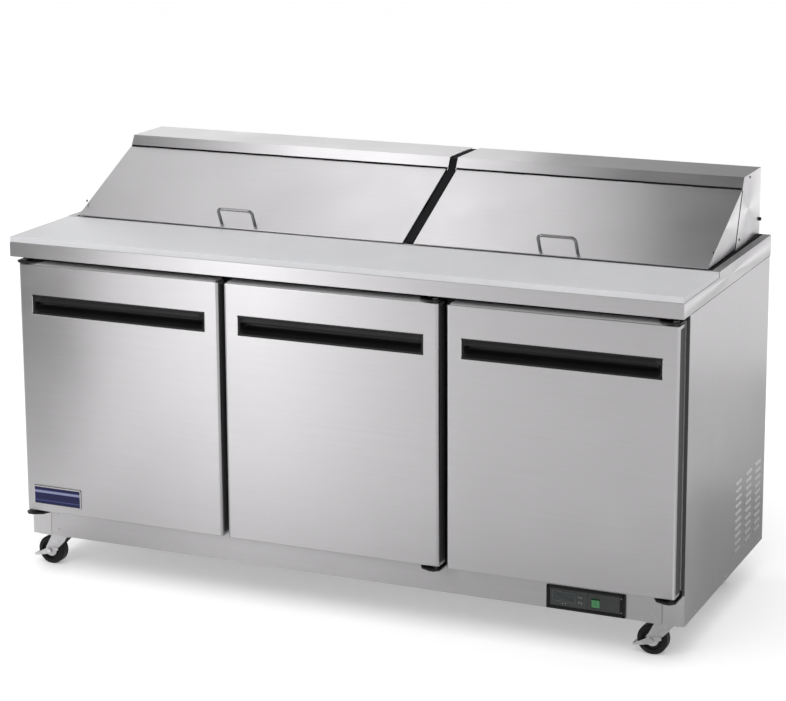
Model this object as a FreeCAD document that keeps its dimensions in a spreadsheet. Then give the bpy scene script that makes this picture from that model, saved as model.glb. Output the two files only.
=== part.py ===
"""Three-door refrigerated sandwich prep table, as a parametric FreeCAD document.

Millimetres, +Z up, +Y towards the back, +X to the right as seen from the front.
The origin is on the floor, under the centre of the table.
"""

import FreeCAD, Part

import math
import os
import re
import sys

import Sketcher

V = FreeCAD.Vector
doc = FreeCAD.newDocument("sandwich_prep_table")

# ---------------------------------------------------------------- driving dimensions

DIMENSIONS = {
    # overall
    "width": 1785, "depth": 748, "gauge": 1.2, "gap": 0.3,
    # worktop and cutting board
    "board_top": 904, "steel_top": 889, "board_depth": 285, "board_play": 1,
    "apron_bottom": 852, "rim_drop": 24,
    # cabinet
    "cabinet_bottom": 95, "cabinet_inset": 2, "cabinet_setback": 59, "seam_x": 836,
    "kick_top": 172, "frame_thick": 16, "bay_low": 210, "bay_high": 800,
    "bay_outer": 834, "mullion_left_x": -292.5, "mullion_right_x": 298, "mullion_half": 46,
    "wall": 52, "floor_low": 158, "liner_rim": 850,
    # machine compartment, low at the back on the right
    "machine_x": 380, "machine_front": 455, "machine_top": 395, "machine_skin": 46,
    # hood and lids
    "hood_inset": 31, "hood_top": 1076, "hood_crest": 594, "strip_y": 580, "strip_z": 1051,
    "seam_foot": 523.8, "split_x": 88, "hood_gap": 22, "lid_gap": 30,
    "lid_crest": 575.5, "lid_crest_z": 1046.6, "lid_front": 290, "lid_front_z": 908.5,
    "lid_foot": 906.6, "lid_seam": 3.2, "lid_fill": 18,
    "hinge_y": 578.5, "hinge_z": 1048.2, "knuckle": 2.2, "rod": 1.0, "knuckle_pitch": 58,
    "pull_width": 97, "pull_height": 46, "pull_rod": 4, "pull_bend": 11, "pull_y": 304,
    # food pans
    "pan_width": 176, "pan_length": 162, "pan_deep": 100, "pan_front": 302, "pan_lip": 6,
    "pan_skin": 0.9, "pan_taper": 8, "pan_flange": 1.2,
    # doors
    "door_width": 573, "door_height": 656, "door_bottom": 177, "door_setback": 7,
    "door_thick": 41, "door_round": 7, "door_edge": 2,
    "door_left_x": -587, "door_middle_x": 1, "door_right_x": 594.5,
    "pivot_in": 12, "pivot_y": 20, "pin_radius": 5, "running_fit": 0.06, "pin_depth": 15,
    "gasket_in": 14, "gasket_band": 16, "gasket_back": 58.7, "bracket_thick": 4,
    "handle_width": 495, "handle_height": 49, "handle_low": 705, "handle_deep": 30,
    "handle_proud": 1.5, "handle_lip": 4,
    "badge_x": -781.5, "badge_width": 141, "badge_low": 195.5, "badge_height": 51,
    # control panel in the kick plate
    "panel_x": 647, "panel_width": 198, "panel_low": 97, "panel_height": 58,
    "control_x": 603, "control_width": 94, "control_low": 104, "control_height": 44,
    "rocker_x": 671, "rocker_z": 122.5, "rocker_width": 20, "rocker_height": 20, "rocker_tilt": 7,
    "key_x": 636, "key_high": 133, "key_low": 119, "key_radius": 3.2, "key_travel": 0.8,
    # casters
    "caster_x": 832, "caster_in": 109, "trail": 31, "wheel_radius": 38, "wheel_width": 28,
    "fork_thick": 2.5, "fork_gap": 2, "axle_radius": 4, "plate_size": 92, "plate_thick": 3,
    "crown_low": 80,
}

# Places that several pieces share, spelled out from the dimensions above.
PLACES = {
    "front": "(-depth / 2)",
    "back": "(depth / 2)",
    "side": "(width / 2 - cabinet_inset)",
    "face": "(-depth / 2 + cabinet_setback)",
    "door_face": "(-depth / 2 + door_setback)",
    "door_back": "(-depth / 2 + door_setback + door_thick)",
    "door_top": "(door_bottom + door_height)",
    "hood_end": "(width / 2 - hood_inset)",
    "pan_span": "(9 * pan_width + lid_gap)",
    "lid_slope": "((lid_crest_z - lid_front_z) / (lid_crest - lid_front))",
}

WORD = re.compile(r"[a-z_][a-z_0-9]*")


def make_sheet():
    sheet = doc.addObject("Spreadsheet::Sheet", "dims")
    for row, (alias, value) in enumerate(DIMENSIONS.items(), start=1):
        sheet.set(f"A{row}", alias.replace("_", " "))
        sheet.set(f"B{row}", str(value))
        sheet.setAlias(f"B{row}", alias)
    doc.recompute()
    return sheet


sheet = make_sheet()


def formula(text):
    """Spell out the named places and point every dimension at the sheet."""
    text = WORD.sub(lambda word: PLACES.get(word[0], word[0]), str(text))
    return WORD.sub(lambda word: f"dims.{word[0]}" if word[0] in DIMENSIONS else word[0], text)


def bind(thing, name, text):
    thing.setExpression(name, formula(text))


def size(text):
    """The value of a formula now, for the few shapes that are computed."""
    value = doc_probe.evalExpression(formula(text))
    return float(getattr(value, "Value", value))


doc_probe = doc.addObject("App::FeaturePython", "probe")


# ---------------------------------------------------------------- building blocks

def place(thing, base):
    for axis, text in zip("xyz", base):
        bind(thing, f"Placement.Base.{axis}", text)


def box(label, low, high):
    """A box between two corners, each three formulas."""
    thing = doc.addObject("Part::Box", label)
    for name, a, b in zip(("Length", "Width", "Height"), low, high):
        bind(thing, name, f"({b}) - ({a})")
    place(thing, low)
    return thing


TURNS = {
    "x": FreeCAD.Rotation(V(0, 1, 0), 90),
    "y": FreeCAD.Rotation(V(1, 0, 0), -90),
    "z": FreeCAD.Rotation(),
}


def rod(label, base, axis, radius, length):
    """A cylinder from base along +x, +y or +z."""
    thing = doc.addObject("Part::Cylinder", label)
    bind(thing, "Radius", radius)
    bind(thing, "Height", length)
    thing.Placement = FreeCAD.Placement(V(), TURNS[axis])
    place(thing, base)
    return thing


def cone(label, base, axis, low_radius, high_radius, length):
    thing = doc.addObject("Part::Cone", label)
    bind(thing, "Radius1", low_radius)
    bind(thing, "Radius2", high_radius)
    bind(thing, "Height", length)
    thing.Placement = FreeCAD.Placement(V(), TURNS[axis])
    place(thing, base)
    return thing


def fuse(label, things):
    thing = doc.addObject("Part::MultiFuse", label)
    thing.Shapes = things
    thing.Refine = True
    return thing


def cut(label, base, tools):
    """Base with one tool, or several fused ones, taken away."""
    thing = doc.addObject("Part::Cut", label)
    thing.Base = base
    thing.Tool = tools[0] if len(tools) == 1 else fuse(label + "_tools", tools)
    return thing


def group(label, things):
    """Separate solids of identical pieces, kept in one sub-part."""
    thing = doc.addObject("Part::Compound", label)
    thing.Links = things
    return thing


def computed(label, shape):
    thing = doc.addObject("Part::Feature", label)
    thing.Shape = shape
    return thing


PLANES = {"side": "YZ_Plane", "plan": "XY_Plane", "front": "XZ_Plane"}


def outline(label, view, points, start, length):
    """A closed outline on one of the body's own planes, padded from start over length.

    "side" takes (y, z) points and grows along +x, "plan" takes (x, y) and grows along +z,
    and "front" takes (x, z) and grows along -y.
    """
    body = doc.addObject("PartDesign::Body", label)
    sketch = body.newObject("Sketcher::SketchObject", label + "_sketch")
    plane = next(f for f in body.Origin.OriginFeatures if f.Role == PLANES[view])
    sketch.AttachmentSupport = [(plane, "")]
    sketch.MapMode = "FlatFace"
    bind(sketch, "AttachmentOffset.Base.z", start)
    corners = [V(size(a), size(b), 0) for a, b in points]
    count = len(corners)
    for i, corner in enumerate(corners):
        sketch.addGeometry(Part.LineSegment(corner, corners[(i + 1) % count]), False)
    for i in range(count):
        sketch.addConstraint(Sketcher.Constraint("Coincident", i, 2, (i + 1) % count, 1))
    for i, (a, b) in enumerate(points):
        for kind, text, value in (("DistanceX", a, corners[i].x), ("DistanceY", b, corners[i].y)):
            number = sketch.addConstraint(Sketcher.Constraint(kind, -1, 1, i, 1, value))
            bind(sketch, f"Constraints[{number}]", text)
    pad = body.newObject("PartDesign::Pad", label + "_pad")
    pad.Profile = sketch
    bind(pad, "Length", length)
    body.Tip = pad
    return body


def round_edges(body, test, radius):
    """Fillet, on a body, the edges for which test(edge) holds."""
    doc.recompute()
    base = body.Tip
    names = [f"Edge{i}" for i, edge in enumerate(base.Shape.Edges, start=1) if test(edge)]
    fillet = body.newObject("PartDesign::Fillet", body.Label + "_round")
    fillet.Base = (base, names)
    bind(fillet, "Radius", radius)
    body.Tip = fillet
    return body


def runs_along(edge, axis):
    """True for a straight edge parallel to axis."""
    direction = edge.Vertexes[-1].Point - edge.Vertexes[0].Point
    return direction.Length > 0 and abs(direction.normalize().dot(axis)) > 0.999


PARTS = {}


def part(thing, label=None):
    """Name a finished sub-part: its label is its node and its file."""
    thing.Label = label or thing.Label
    PARTS[thing.Label] = thing
    return thing


# ---------------------------------------------------------------- worktop

def pan_fields():
    """The two pan openings: five columns under the left lid, four under the right."""
    return {
        "left": ("-pan_span / 2", "split_x - lid_gap / 2"),
        "right": ("split_x + lid_gap / 2", "pan_span / 2"),
    }


def make_worktop():
    """Deck, apron and skirts in one folded sheet, stepped up behind the cutting board."""
    half = "width / 2"
    rise = "front + board_depth"
    shell = outline("worktop_shell", "side", [
        ("front", "apron_bottom"), ("back", "apron_bottom"), ("back", "board_top"),
        (rise, "board_top"), (rise, "steel_top"), ("front", "steel_top"),
    ], f"-{half}", "width")
    hollow = outline("worktop_hollow", "side", [
        ("front + gauge", "apron_bottom - 5"), ("back - gauge", "apron_bottom - 5"),
        ("back - gauge", "board_top - gauge"), (f"{rise} + gauge", "board_top - gauge"),
        (f"{rise} + gauge", "steel_top - gauge"), ("front + gauge", "steel_top - gauge"),
    ], f"-{half} + gauge", "width - 2 * gauge")
    deck = cut("worktop_deck", shell, [hollow])
    rims, holes = [], []
    low_y, high_y = "front + pan_front + pan_lip", "front + pan_front + 2 * pan_length - pan_lip"
    for name, (x0, x1) in pan_fields().items():
        a, b = f"{x0} + pan_lip", f"{x1} - pan_lip"
        rims.append(box(f"rim_{name}",
                        (f"{a} - gauge", f"{low_y} - gauge", "board_top - rim_drop"),
                        (f"{b} + gauge", f"{high_y} + gauge", "board_top")))
        holes.append(box(f"opening_{name}", (a, low_y, "board_top - rim_drop - 2"),
                         (b, high_y, "board_top + 2")))
    part(cut("worktop_cut", fuse("worktop_rimmed", [deck] + rims), holes), "worktop")


def make_pan_dividers():
    """One bar between the two rows of pans in each opening."""
    bars = []
    middle = "front + pan_front + pan_length"
    for name, (x0, x1) in pan_fields().items():
        bars.append(box(f"divider_{name}",
                        (f"{x0} + pan_lip", f"{middle} - pan_lip", "board_top - 14"),
                        (f"{x1} - pan_lip", f"{middle} + pan_lip", "board_top")))
    part(group("pan_dividers", bars))


def make_food_pans():
    """Sixth-size pans, flange to flange, in two rows."""
    play, floor = 0.3, "board_top + pan_flange - pan_deep"
    flange = box("pan_flange_plate", (f"{play}", f"{play}", "board_top"),
                 (f"pan_width - {play}", f"pan_length - {play}", "board_top + pan_flange"))

    def tub(label, shrink, low, high):
        wedge = doc.addObject("Part::Wedge", label)
        inset, foot = f"pan_lip + 2 + {shrink}", f"pan_lip + 2 + pan_taper + {shrink}"
        bind(wedge, "Ymin", low)
        bind(wedge, "Ymax", high)
        for name, text in (("Xmin", foot), ("Xmax", f"pan_width - ({foot})"),
                           ("Zmin", foot), ("Zmax", f"pan_length - ({foot})"),
                           ("X2min", inset), ("X2max", f"pan_width - ({inset})"),
                           ("Z2min", inset), ("Z2max", f"pan_length - ({inset})")):
            bind(wedge, name, text)
        wedge.Placement = FreeCAD.Placement(V(), FreeCAD.Rotation(V(1, 0, 0), 90))
        return wedge

    outer = tub("pan_outer", "0", floor, "board_top + pan_flange")
    inner = tub("pan_inner", "pan_skin", f"{floor} + pan_skin", "board_top + pan_flange + 0.01")
    for wedge in (outer, inner):
        bind(wedge, "Placement.Base.y", "pan_length")
    pan = cut("pan_master", fuse("pan_blank", [flange, outer]), [inner])
    doc.recompute()
    copies = []
    for x0, columns in ((size("-pan_span / 2"), 5), (size("split_x + lid_gap / 2"), 4)):
        for column in range(columns):
            for row in range(2):
                copy = pan.Shape.copy()
                copy.translate(V(x0 + column * size("pan_width"),
                                 size("front + pan_front") + row * size("pan_length"), 0))
                copies.append(copy)
    part(computed("food_pans", Part.makeCompound(copies)))


def make_cutting_board():
    body = outline("cutting_board", "plan", [
        ("-width / 2 + board_play", "front + board_play"),
        ("width / 2 - board_play", "front + board_play"),
        ("width / 2 - board_play", "front + board_depth - board_play"),
        ("-width / 2 + board_play", "front + board_depth - board_play"),
    ], "steel_top + gap", "board_top - steel_top - gap")
    high = size("board_top")
    round_edges(body, lambda e: all(abs(v.Z - high) < 0.01 for v in e.Vertexes), "1.5")
    part(body)


# ---------------------------------------------------------------- cabinet

def louvre_bank():
    """Three columns of ten pressed louvres: what is added to the sheet, and what is cut."""
    proud, tall, long, pitch, top = 1.8, 9.0, 51.0, 19.5, 320.0
    skin, x = 0.9, size("side")
    pressed, slots = [], []
    for column in (508, 600, 687):
        y = size("front") + column - long / 2
        for row in range(10):
            z = top - row * pitch
            hood = [V(x - 0.2, y, z + tall / 2), V(x + proud, y, z - tall / 2 + 1),
                    V(x + proud, y, z - tall / 2), V(x - 0.2, y, z - tall / 2)]
            face = Part.Face(Part.makePolygon(hood + hood[:1]))
            pressed.append(face.extrude(V(0, long, 0)))
            slot = [V(x - 4, y + skin, z + tall / 2 - skin), V(x - 0.2, y + skin, z + tall / 2 - skin),
                    V(x + proud - skin, y + skin, z - tall / 2 + skin),
                    V(x + proud - skin, y + skin, z - tall / 2 - 1),
                    V(x - 4, y + skin, z - tall / 2 - 1)]
            face = Part.Face(Part.makePolygon(slot + slot[:1]))
            slots.append(face.extrude(V(0, long - 2 * skin, 0)))
    return (computed("louvre_hoods", Part.makeCompound(pressed)),
            computed("louvre_slots", Part.makeCompound(slots)))


def make_side_panels():
    """Sheet sides with a front return beside the doors and a narrow flange at the back."""
    for name, sign in (("left", -1), ("right", 1)):
        points = [("side", "face"), ("side", "back"), ("side - 20", "back"),
                  ("side - 20", "back - gauge"), ("side - gauge", "back - gauge"),
                  ("side - gauge", "face + gauge"), ("seam_x + 0.5", "face + gauge"),
                  ("seam_x + 0.5", "face")]
        body = outline(f"side_sheet_{name}", "plan",
                       [(f"{sign} * ({x})", y) for x, y in points],
                       "cabinet_bottom", "apron_bottom - cabinet_bottom")
        if name == "left":
            part(body, "side_panel_left")
        else:
            hoods, slots = louvre_bank()
            louvred = fuse("side_louvred", [body, hoods])
            part(cut("side_vented", louvred, [slots]), "side_panel_right")


def make_back_panel():
    """Outer back between the side flanges, slotted behind the machine compartment."""
    sheet_box = box("back_sheet", ("-side + 20.3", "back - gauge", "cabinet_bottom"),
                    ("side - 20.3", "back", "apron_bottom - gap"))
    slots = []
    for column in range(2):
        for row in range(12):
            x, z = 410 + column * 230, 125 + row * 20
            slots.append(Part.makeBox(200, 10, 8, V(x, size("back") - 5, z)))
    cutter = computed("back_slots", Part.makeCompound(slots))
    gland = rod("gland_hole", ("machine_x - 60", "back - 5", "150"), "y", "11", "10")
    part(cut("back_cut", sheet_box, [cutter, gland]), "back_panel")
    bush = rod("gland_bush", ("machine_x - 60", "back - 8", "150"), "y", "10.9", "8")
    flange = rod("gland_flange", ("machine_x - 60", "back", "150"), "y", "15", "9")
    bore = rod("gland_bore", ("machine_x - 60", "back - 9", "150"), "y", "4.5", "20")
    part(cut("gland_cut", fuse("gland_blank", [bush, flange]), [bore]), "cord_gland")


def make_base_and_kick():
    part(box("base_pan", ("-side + gauge + 0.1", "face + gauge + 0.1", "cabinet_bottom"),
             ("side - gauge - 0.1", "back - gauge - 0.1", "cabinet_bottom + 2")))
    kick = box("kick_sheet", ("-seam_x + 0.5", "face", "cabinet_bottom"),
               ("seam_x - 0.5", "face + gauge", "kick_top"))
    hole = box("kick_hole", ("panel_x - panel_width / 2 + 4", "face - 1", "panel_low + 4"),
               ("panel_x + panel_width / 2 - 4", "face + 5", "panel_low + panel_height - 4"))
    part(cut("kick_cut", kick, [hole]), "kick_panel")


def make_front_frame():
    """The face that the door gaskets seal on, with one opening for each bay."""
    blank = box("frame_blank", ("-seam_x + 0.7", "face", "kick_top + 0.2"),
                ("seam_x - 0.7", "face + frame_thick", "liner_rim"))
    jambs = ["-bay_outer", "mullion_left_x - mullion_half", "mullion_left_x + mullion_half",
             "mullion_right_x - mullion_half", "mullion_right_x + mullion_half", "bay_outer"]
    bays = [box(f"bay_{i}", (jambs[2 * i], "face - 1", "bay_low"),
                (jambs[2 * i + 1], "face + frame_thick + 1", "bay_high")) for i in range(3)]
    part(cut("frame_cut", blank, bays), "front_frame")


def stepped_cavity(label, grow):
    """The cold space, open to the front and the top, less the step over the machinery."""
    room = box(f"{label}_room",
               (f"-bay_outer - 2 - {grow}", "face + frame_thick + 0.2", f"floor_low - {grow}"),
               (f"bay_outer + 2 + {grow}", f"back - wall + {grow}", "liner_rim"))
    step = box(f"{label}_step",
               (f"machine_x - machine_skin + {grow}",
                f"front + machine_front - machine_skin + {grow}", "floor_low - 10"),
               ("width", "depth", f"machine_top + machine_skin - {grow}"))
    return cut(label, room, [step])


def make_insulation_and_liner():
    outer = stepped_cavity("liner_outer", "gauge")
    inner = stepped_cavity("liner_inner", "0")
    part(cut("liner_cut", outer, [inner]), "liner")
    slab = box("foam_slab", ("-side + gauge + 0.2", "face + gauge + 0.2", "cabinet_bottom + 2.2"),
               ("side - gauge - 0.2", "back - gauge - 0.2", "liner_rim"))
    frame_room = box("foam_frame_room", ("-seam_x", "face - 1", "kick_top"),
                     ("seam_x", "face + frame_thick + 0.2", "liner_rim + 1"))
    kick_room = box("foam_kick_room", ("-seam_x", "face - 1", "cabinet_bottom"),
                    ("seam_x", "face + 90", "floor_low - 4"))
    machine_room = box("foam_machine_room", ("machine_x", "front + machine_front", "0"),
                       ("width", "depth", "machine_top"))
    gland_room = rod("foam_gland_room", ("machine_x - 60", "back - 12", "150"), "y", "16", "20")
    cavity = stepped_cavity("foam_cavity", "gauge")
    part(cut("foam_cut", slab, [cavity, frame_room, kick_room, machine_room, gland_room]),
         "insulation")


def make_wire_shelves():
    """One wire shelf in each bay: a rim rod with cross wires and two stiffeners."""
    high, rim, wire, inset = 480.0, 3.2, 1.9, 14.0
    y0, y1 = size("face + frame_thick") + inset, size("back - wall") - 90
    spans = (("-bay_outer", "mullion_left_x"), ("mullion_left_x", "mullion_right_x"),
             ("mullion_right_x", "bay_outer"))
    shelves = []
    for a, b in spans:
        x0, x1 = size(a) + inset, size(b) - inset
        rods = [Part.makeCylinder(rim, y1 - y0, V(x, y0, high), V(0, 1, 0)) for x in (x0, x1)]
        rods += [Part.makeCylinder(rim, x1 - x0, V(x0, y, high), V(1, 0, 0)) for y in (y0, y1)]
        rods += [Part.makeSphere(rim, V(x, y, high)) for x in (x0, x1) for y in (y0, y1)]
        rods += [Part.makeCylinder(wire, x1 - x0, V(x0, y0 + (y1 - y0) * k / 3, high), V(1, 0, 0))
                 for k in (1, 2)]
        wires = round((x1 - x0) / 30)
        for i in range(1, wires):
            x = x0 + (x1 - x0) * i / wires
            rods.append(Part.makeCylinder(wire, y1 - y0, V(x, y0, high + 1.5), V(0, 1, 0)))
        shelves.append(rods[0].multiFuse(rods[1:]))
    part(computed("wire_shelves", Part.makeCompound(shelves)))


# ---------------------------------------------------------------- hood and lids

def lid_spans():
    return {
        "left": ("-hood_end", "split_x - lid_gap / 2"),
        "right": ("split_x + lid_gap / 2", "hood_end"),
    }


def make_hoods():
    """Fixed rear hoods: back, top and slanted front strip, closed by two end plates."""
    spans = {"left": ("-hood_end", "split_x - hood_gap / 2"),
             "right": ("split_x + hood_gap / 2", "hood_end")}
    for name, (x0, x1) in spans.items():
        skin = outline(f"hood_skin_{name}", "side", [
            ("back", "board_top + 0.2"), ("back", "hood_top"), ("front + hood_crest", "hood_top"),
            ("front + strip_y", "strip_z"), ("front + strip_y + gauge", "strip_z - 0.4"),
            ("front + hood_crest + gauge * 0.8", "hood_top - gauge"),
            ("back - gauge", "hood_top - gauge"), ("back - gauge", "board_top + 0.2"),
        ], x0, f"({x1}) - ({x0})")
        ends = []
        for end, x in (("a", x0), ("b", f"{x1} - gauge")):
            ends.append(outline(f"hood_end_{name}_{end}", "side", [
                ("back", "board_top + 0.2"), ("back", "hood_top"),
                ("front + hood_crest", "hood_top"), ("front + strip_y", "strip_z"),
                ("front + seam_foot", "board_top + 0.2"),
            ], x, "gauge"))
        part(fuse(f"hood_{name}", [skin] + ends + knuckles(name, x0, x1, 0)))


def knuckles(name, x0, x1, phase):
    """Every other knuckle of a lid's long hinge: phase 0 on the hood, phase 1 on the lid."""
    lids = lid_spans()[name]
    low, high = size(lids[0]) + size("gauge") + 2, size(lids[1]) - size("gauge") - 2
    count = int((high - low) / size("knuckle_pitch"))
    pitch, slack = (high - low) / count, 0.5
    y, z = size("front + hinge_y"), size("hinge_z")
    radius, bore = size("knuckle"), size("rod") + size("running_fit")
    rolls = []
    for i in range(phase, count, 2):
        x, long = low + i * pitch + slack / 2, pitch - slack
        roll = Part.makeCylinder(radius, long, V(x, y, z), V(1, 0, 0))
        if phase:
            leaf = [V(x, size("front + lid_crest") - 4, size("lid_crest_z") - 4 * size("lid_slope")),
                    V(x, y, z + 0.2), V(x, y + 0.3, z - 1.6),
                    V(x, size("front + lid_crest") - 4,
                      size("lid_crest_z") - 4 * size("lid_slope") - 1.2)]
        else:
            leaf = [V(x, y + 0.2, z + 1.0), V(x, y + 1.8, z - 0.4),
                    V(x, size("front + strip_y") + 1.6, size("strip_z") + 0.8),
                    V(x, size("front + strip_y") + 0.4, size("strip_z") + 0.8)]
        web = Part.Face(Part.makePolygon(leaf + leaf[:1])).extrude(V(long, 0, 0))
        hole = Part.makeCylinder(bore, long + 2, V(x - 1, y, z), V(1, 0, 0))
        rolls.append(roll.fuse(web).cut(hole))
    side = "lid" if phase else "hood"
    return [computed(f"knuckles_{side}_{name}", Part.makeCompound(rolls))]


def make_hinge_rods():
    rods = []
    for name, (x0, x1) in lid_spans().items():
        rods.append(rod(f"hinge_rod_{name}", (f"{x0} + gauge + 3", "front + hinge_y", "hinge_z"),
                        "x", "rod", f"({x1}) - ({x0}) - 2 * gauge - 6"))
    part(group("lid_hinge_rods", rods))


def make_hood_divider():
    """Black plate between the two hoods, following the hood's and the lids' outline."""
    part(outline("hood_divider", "side", [
        ("back - 3", "board_top + pan_flange + 0.6"), ("back - 3", "hood_top - 3"),
        ("front + hood_crest + 2", "hood_top - 3"), ("front + strip_y + 2", "strip_z - 1"),
        ("front + hinge_y - 2", "hinge_z - 4"), ("front + lid_front + 8", "lid_front_z"),
        ("front + lid_front + 8", "board_top + pan_flange + 0.6"),
    ], "split_x - hood_gap / 2 + 0.2", "hood_gap - 0.4"))


def make_lids():
    """Each lid: a folded skin with triangular cheeks, an insulated inner panel and a pull."""
    drop = "gauge * 1.112"
    for name, (x0, x1) in lid_spans().items():
        side_on = outline(f"lid_prism_{name}", "side", [
            ("front + lid_crest", "lid_crest_z"), ("front + lid_front", "lid_front_z"),
            ("front + lid_front", "lid_foot"), ("front + seam_foot - lid_seam", "lid_foot"),
        ], x0, f"({x1}) - ({x0})")
        hollow = outline(f"lid_hollow_{name}", "side", [
            ("front + lid_crest + 30", f"lid_crest_z + 30 * lid_slope - {drop}"),
            ("front + lid_front + 1.5", f"lid_front_z + 1.5 * lid_slope - {drop}"),
            ("front + lid_front + 1.5", "lid_foot - 20"),
            ("front + lid_crest + 30", "lid_foot - 20"),
        ], f"{x0} + gauge", f"({x1}) - ({x0}) - 2 * gauge")
        bare = cut(f"lid_bare_{name}", side_on, [hollow])
        part(fuse(f"lid_{name}_skin", [bare] + knuckles(name, x0, x1, 1)))
        under = f"({drop} + 0.3)"
        part(outline(f"lid_{name}_inner_panel", "side", [
            ("front + lid_front + 45", f"lid_front_z + 45 * lid_slope - {under}"),
            ("front + lid_crest - 12", f"lid_crest_z - 12 * lid_slope - {under}"),
            ("front + lid_crest - 12", f"lid_crest_z - 12 * lid_slope - {under} - lid_fill"),
            ("front + lid_front + 45", f"lid_front_z + 45 * lid_slope - {under} - lid_fill"),
        ], f"{x0} + gauge + 14", f"({x1}) - ({x0}) - 2 * gauge - 28"))
        make_pull(name, f"(({x0}) + ({x1})) / 2")


def make_pull(name, middle):
    """Bent-rod pull standing square to the lid."""
    legs, bends = [], []
    for sign in (-1, 1):
        legs.append(rod(f"pull_leg_{name}_{sign}", (f"{sign} * pull_width / 2", "0", "0"),
                        "z", "pull_rod", "pull_height - pull_bend"))
        bend = doc.addObject("Part::Torus", f"pull_bend_{name}_{sign}")
        bind(bend, "Radius1", "pull_bend")
        bind(bend, "Radius2", "pull_rod")
        bend.Angle3 = 90
        turn = FreeCAD.Rotation(V(1, 0, 0), 90)
        if sign < 0:
            turn = FreeCAD.Rotation(V(0, 0, 1), 180).multiply(turn)
        bend.Placement = FreeCAD.Placement(V(), turn)
        place(bend, (f"{sign} * (pull_width / 2 - pull_bend)", "0", "pull_height - pull_bend"))
        bends.append(bend)
    bar = rod(f"pull_bar_{name}", ("-pull_width / 2 + pull_bend", "0", "pull_height"),
              "x", "pull_rod", "pull_width - 2 * pull_bend")
    pull = fuse(f"lid_{name}_pull", legs + bends + [bar])
    lean = math.degrees(math.atan(size("lid_slope")))
    pull.Placement = FreeCAD.Placement(V(), FreeCAD.Rotation(V(1, 0, 0), lean))
    place(pull, (middle, "front + pull_y", "lid_front_z + (pull_y - lid_front) * lid_slope"))
    part(pull)


# ---------------------------------------------------------------- doors

DOORS = {"left": -1, "middle": 1, "right": 1}


def pivot_x(name):
    return f"(door_{name}_x + {DOORS[name]} * (door_width / 2 - pivot_in))"


def door_block(label, name, inset, back, radius, edge):
    """A block as large as the door less an inset, with rounded front edges."""
    x0, x1 = f"door_{name}_x - door_width / 2 + {inset}", f"door_{name}_x + door_width / 2 - ({inset})"
    body = outline(label, "plan", [
        (x0, f"door_face + {inset}"), (x1, f"door_face + {inset}"), (x1, back), (x0, back),
    ], f"door_bottom + {inset}", f"door_height - 2 * ({inset})")
    y = size(f"door_face + {inset}")
    round_edges(body, lambda e: runs_along(e, V(0, 0, 1)) and abs(e.Vertexes[0].Y - y) < 0.01,
                radius)
    if edge:
        round_edges(body, lambda e: runs_along(e, V(1, 0, 0)) and abs(e.Vertexes[0].Y - y) < 0.01,
                    edge)
    return body


def make_door(name):
    x, half = f"door_{name}_x", "door_width / 2"
    pocket = lambda label, grow: box(
        label, (f"{x} - handle_width / 2 + handle_lip - {grow}", "door_face - 5",
                f"handle_low + handle_lip - {grow}"),
        (f"{x} + handle_width / 2 - handle_lip + {grow}", f"door_face + handle_deep + {grow}",
         f"handle_low + handle_height - handle_lip + {grow}"))
    pins = lambda label: [
        rod(f"{label}_low", (pivot_x(name), "front + pivot_y", "door_bottom - 1"),
            "z", "pin_radius + running_fit", "pin_depth + 2"),
        rod(f"{label}_high", (pivot_x(name), "front + pivot_y", "door_top - pin_depth - 1"),
            "z", "pin_radius + running_fit", "pin_depth + 2")]

    shell = door_block(f"door_shell_{name}", name, "0", "door_back", "door_round", "door_edge")
    hollow = door_block(f"door_hollow_{name}", name, "gauge", "door_back + 5",
                        "door_round - gauge", "")
    part(cut(f"door_skin_cut_{name}", shell, [hollow, pocket(f"skin_pocket_{name}", "0.3")]
             + pins(f"skin_pins_{name}")), f"door_{name}_skin")

    fill = door_block(f"door_fill_{name}", name, "gauge + 0.2", "door_back",
                      "door_round - gauge - 0.2", "")
    inner = box(f"door_raised_{name}", (f"{x} - {half} + 40", "door_back - 1", "door_bottom + 40"),
                (f"{x} + {half} - 40", "door_back + 6", "door_top - 40"))
    part(cut(f"door_fill_cut_{name}", fuse(f"door_filled_{name}", [fill, inner]),
             [pocket(f"fill_pocket_{name}", "0.4")] + pins(f"fill_pins_{name}")),
         f"door_{name}_inner_panel")

    ring = [box(f"gasket_{name}_{kind}",
                (f"{x} - {half} + {inset}", f"door_back + {start}", f"door_bottom + {inset}"),
                (f"{x} + {half} - ({inset})", f"front + gasket_back + {end}",
                 f"door_top - ({inset})"))
            for kind, inset, start, end in (("outer", "gasket_in", "0", "0"),
                                            ("inner", "gasket_in + gasket_band", "-1", "1"))]
    part(cut(f"gasket_cut_{name}", ring[0], ring[1:]), f"door_{name}_gasket")
    make_door_handle(name, x)


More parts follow.
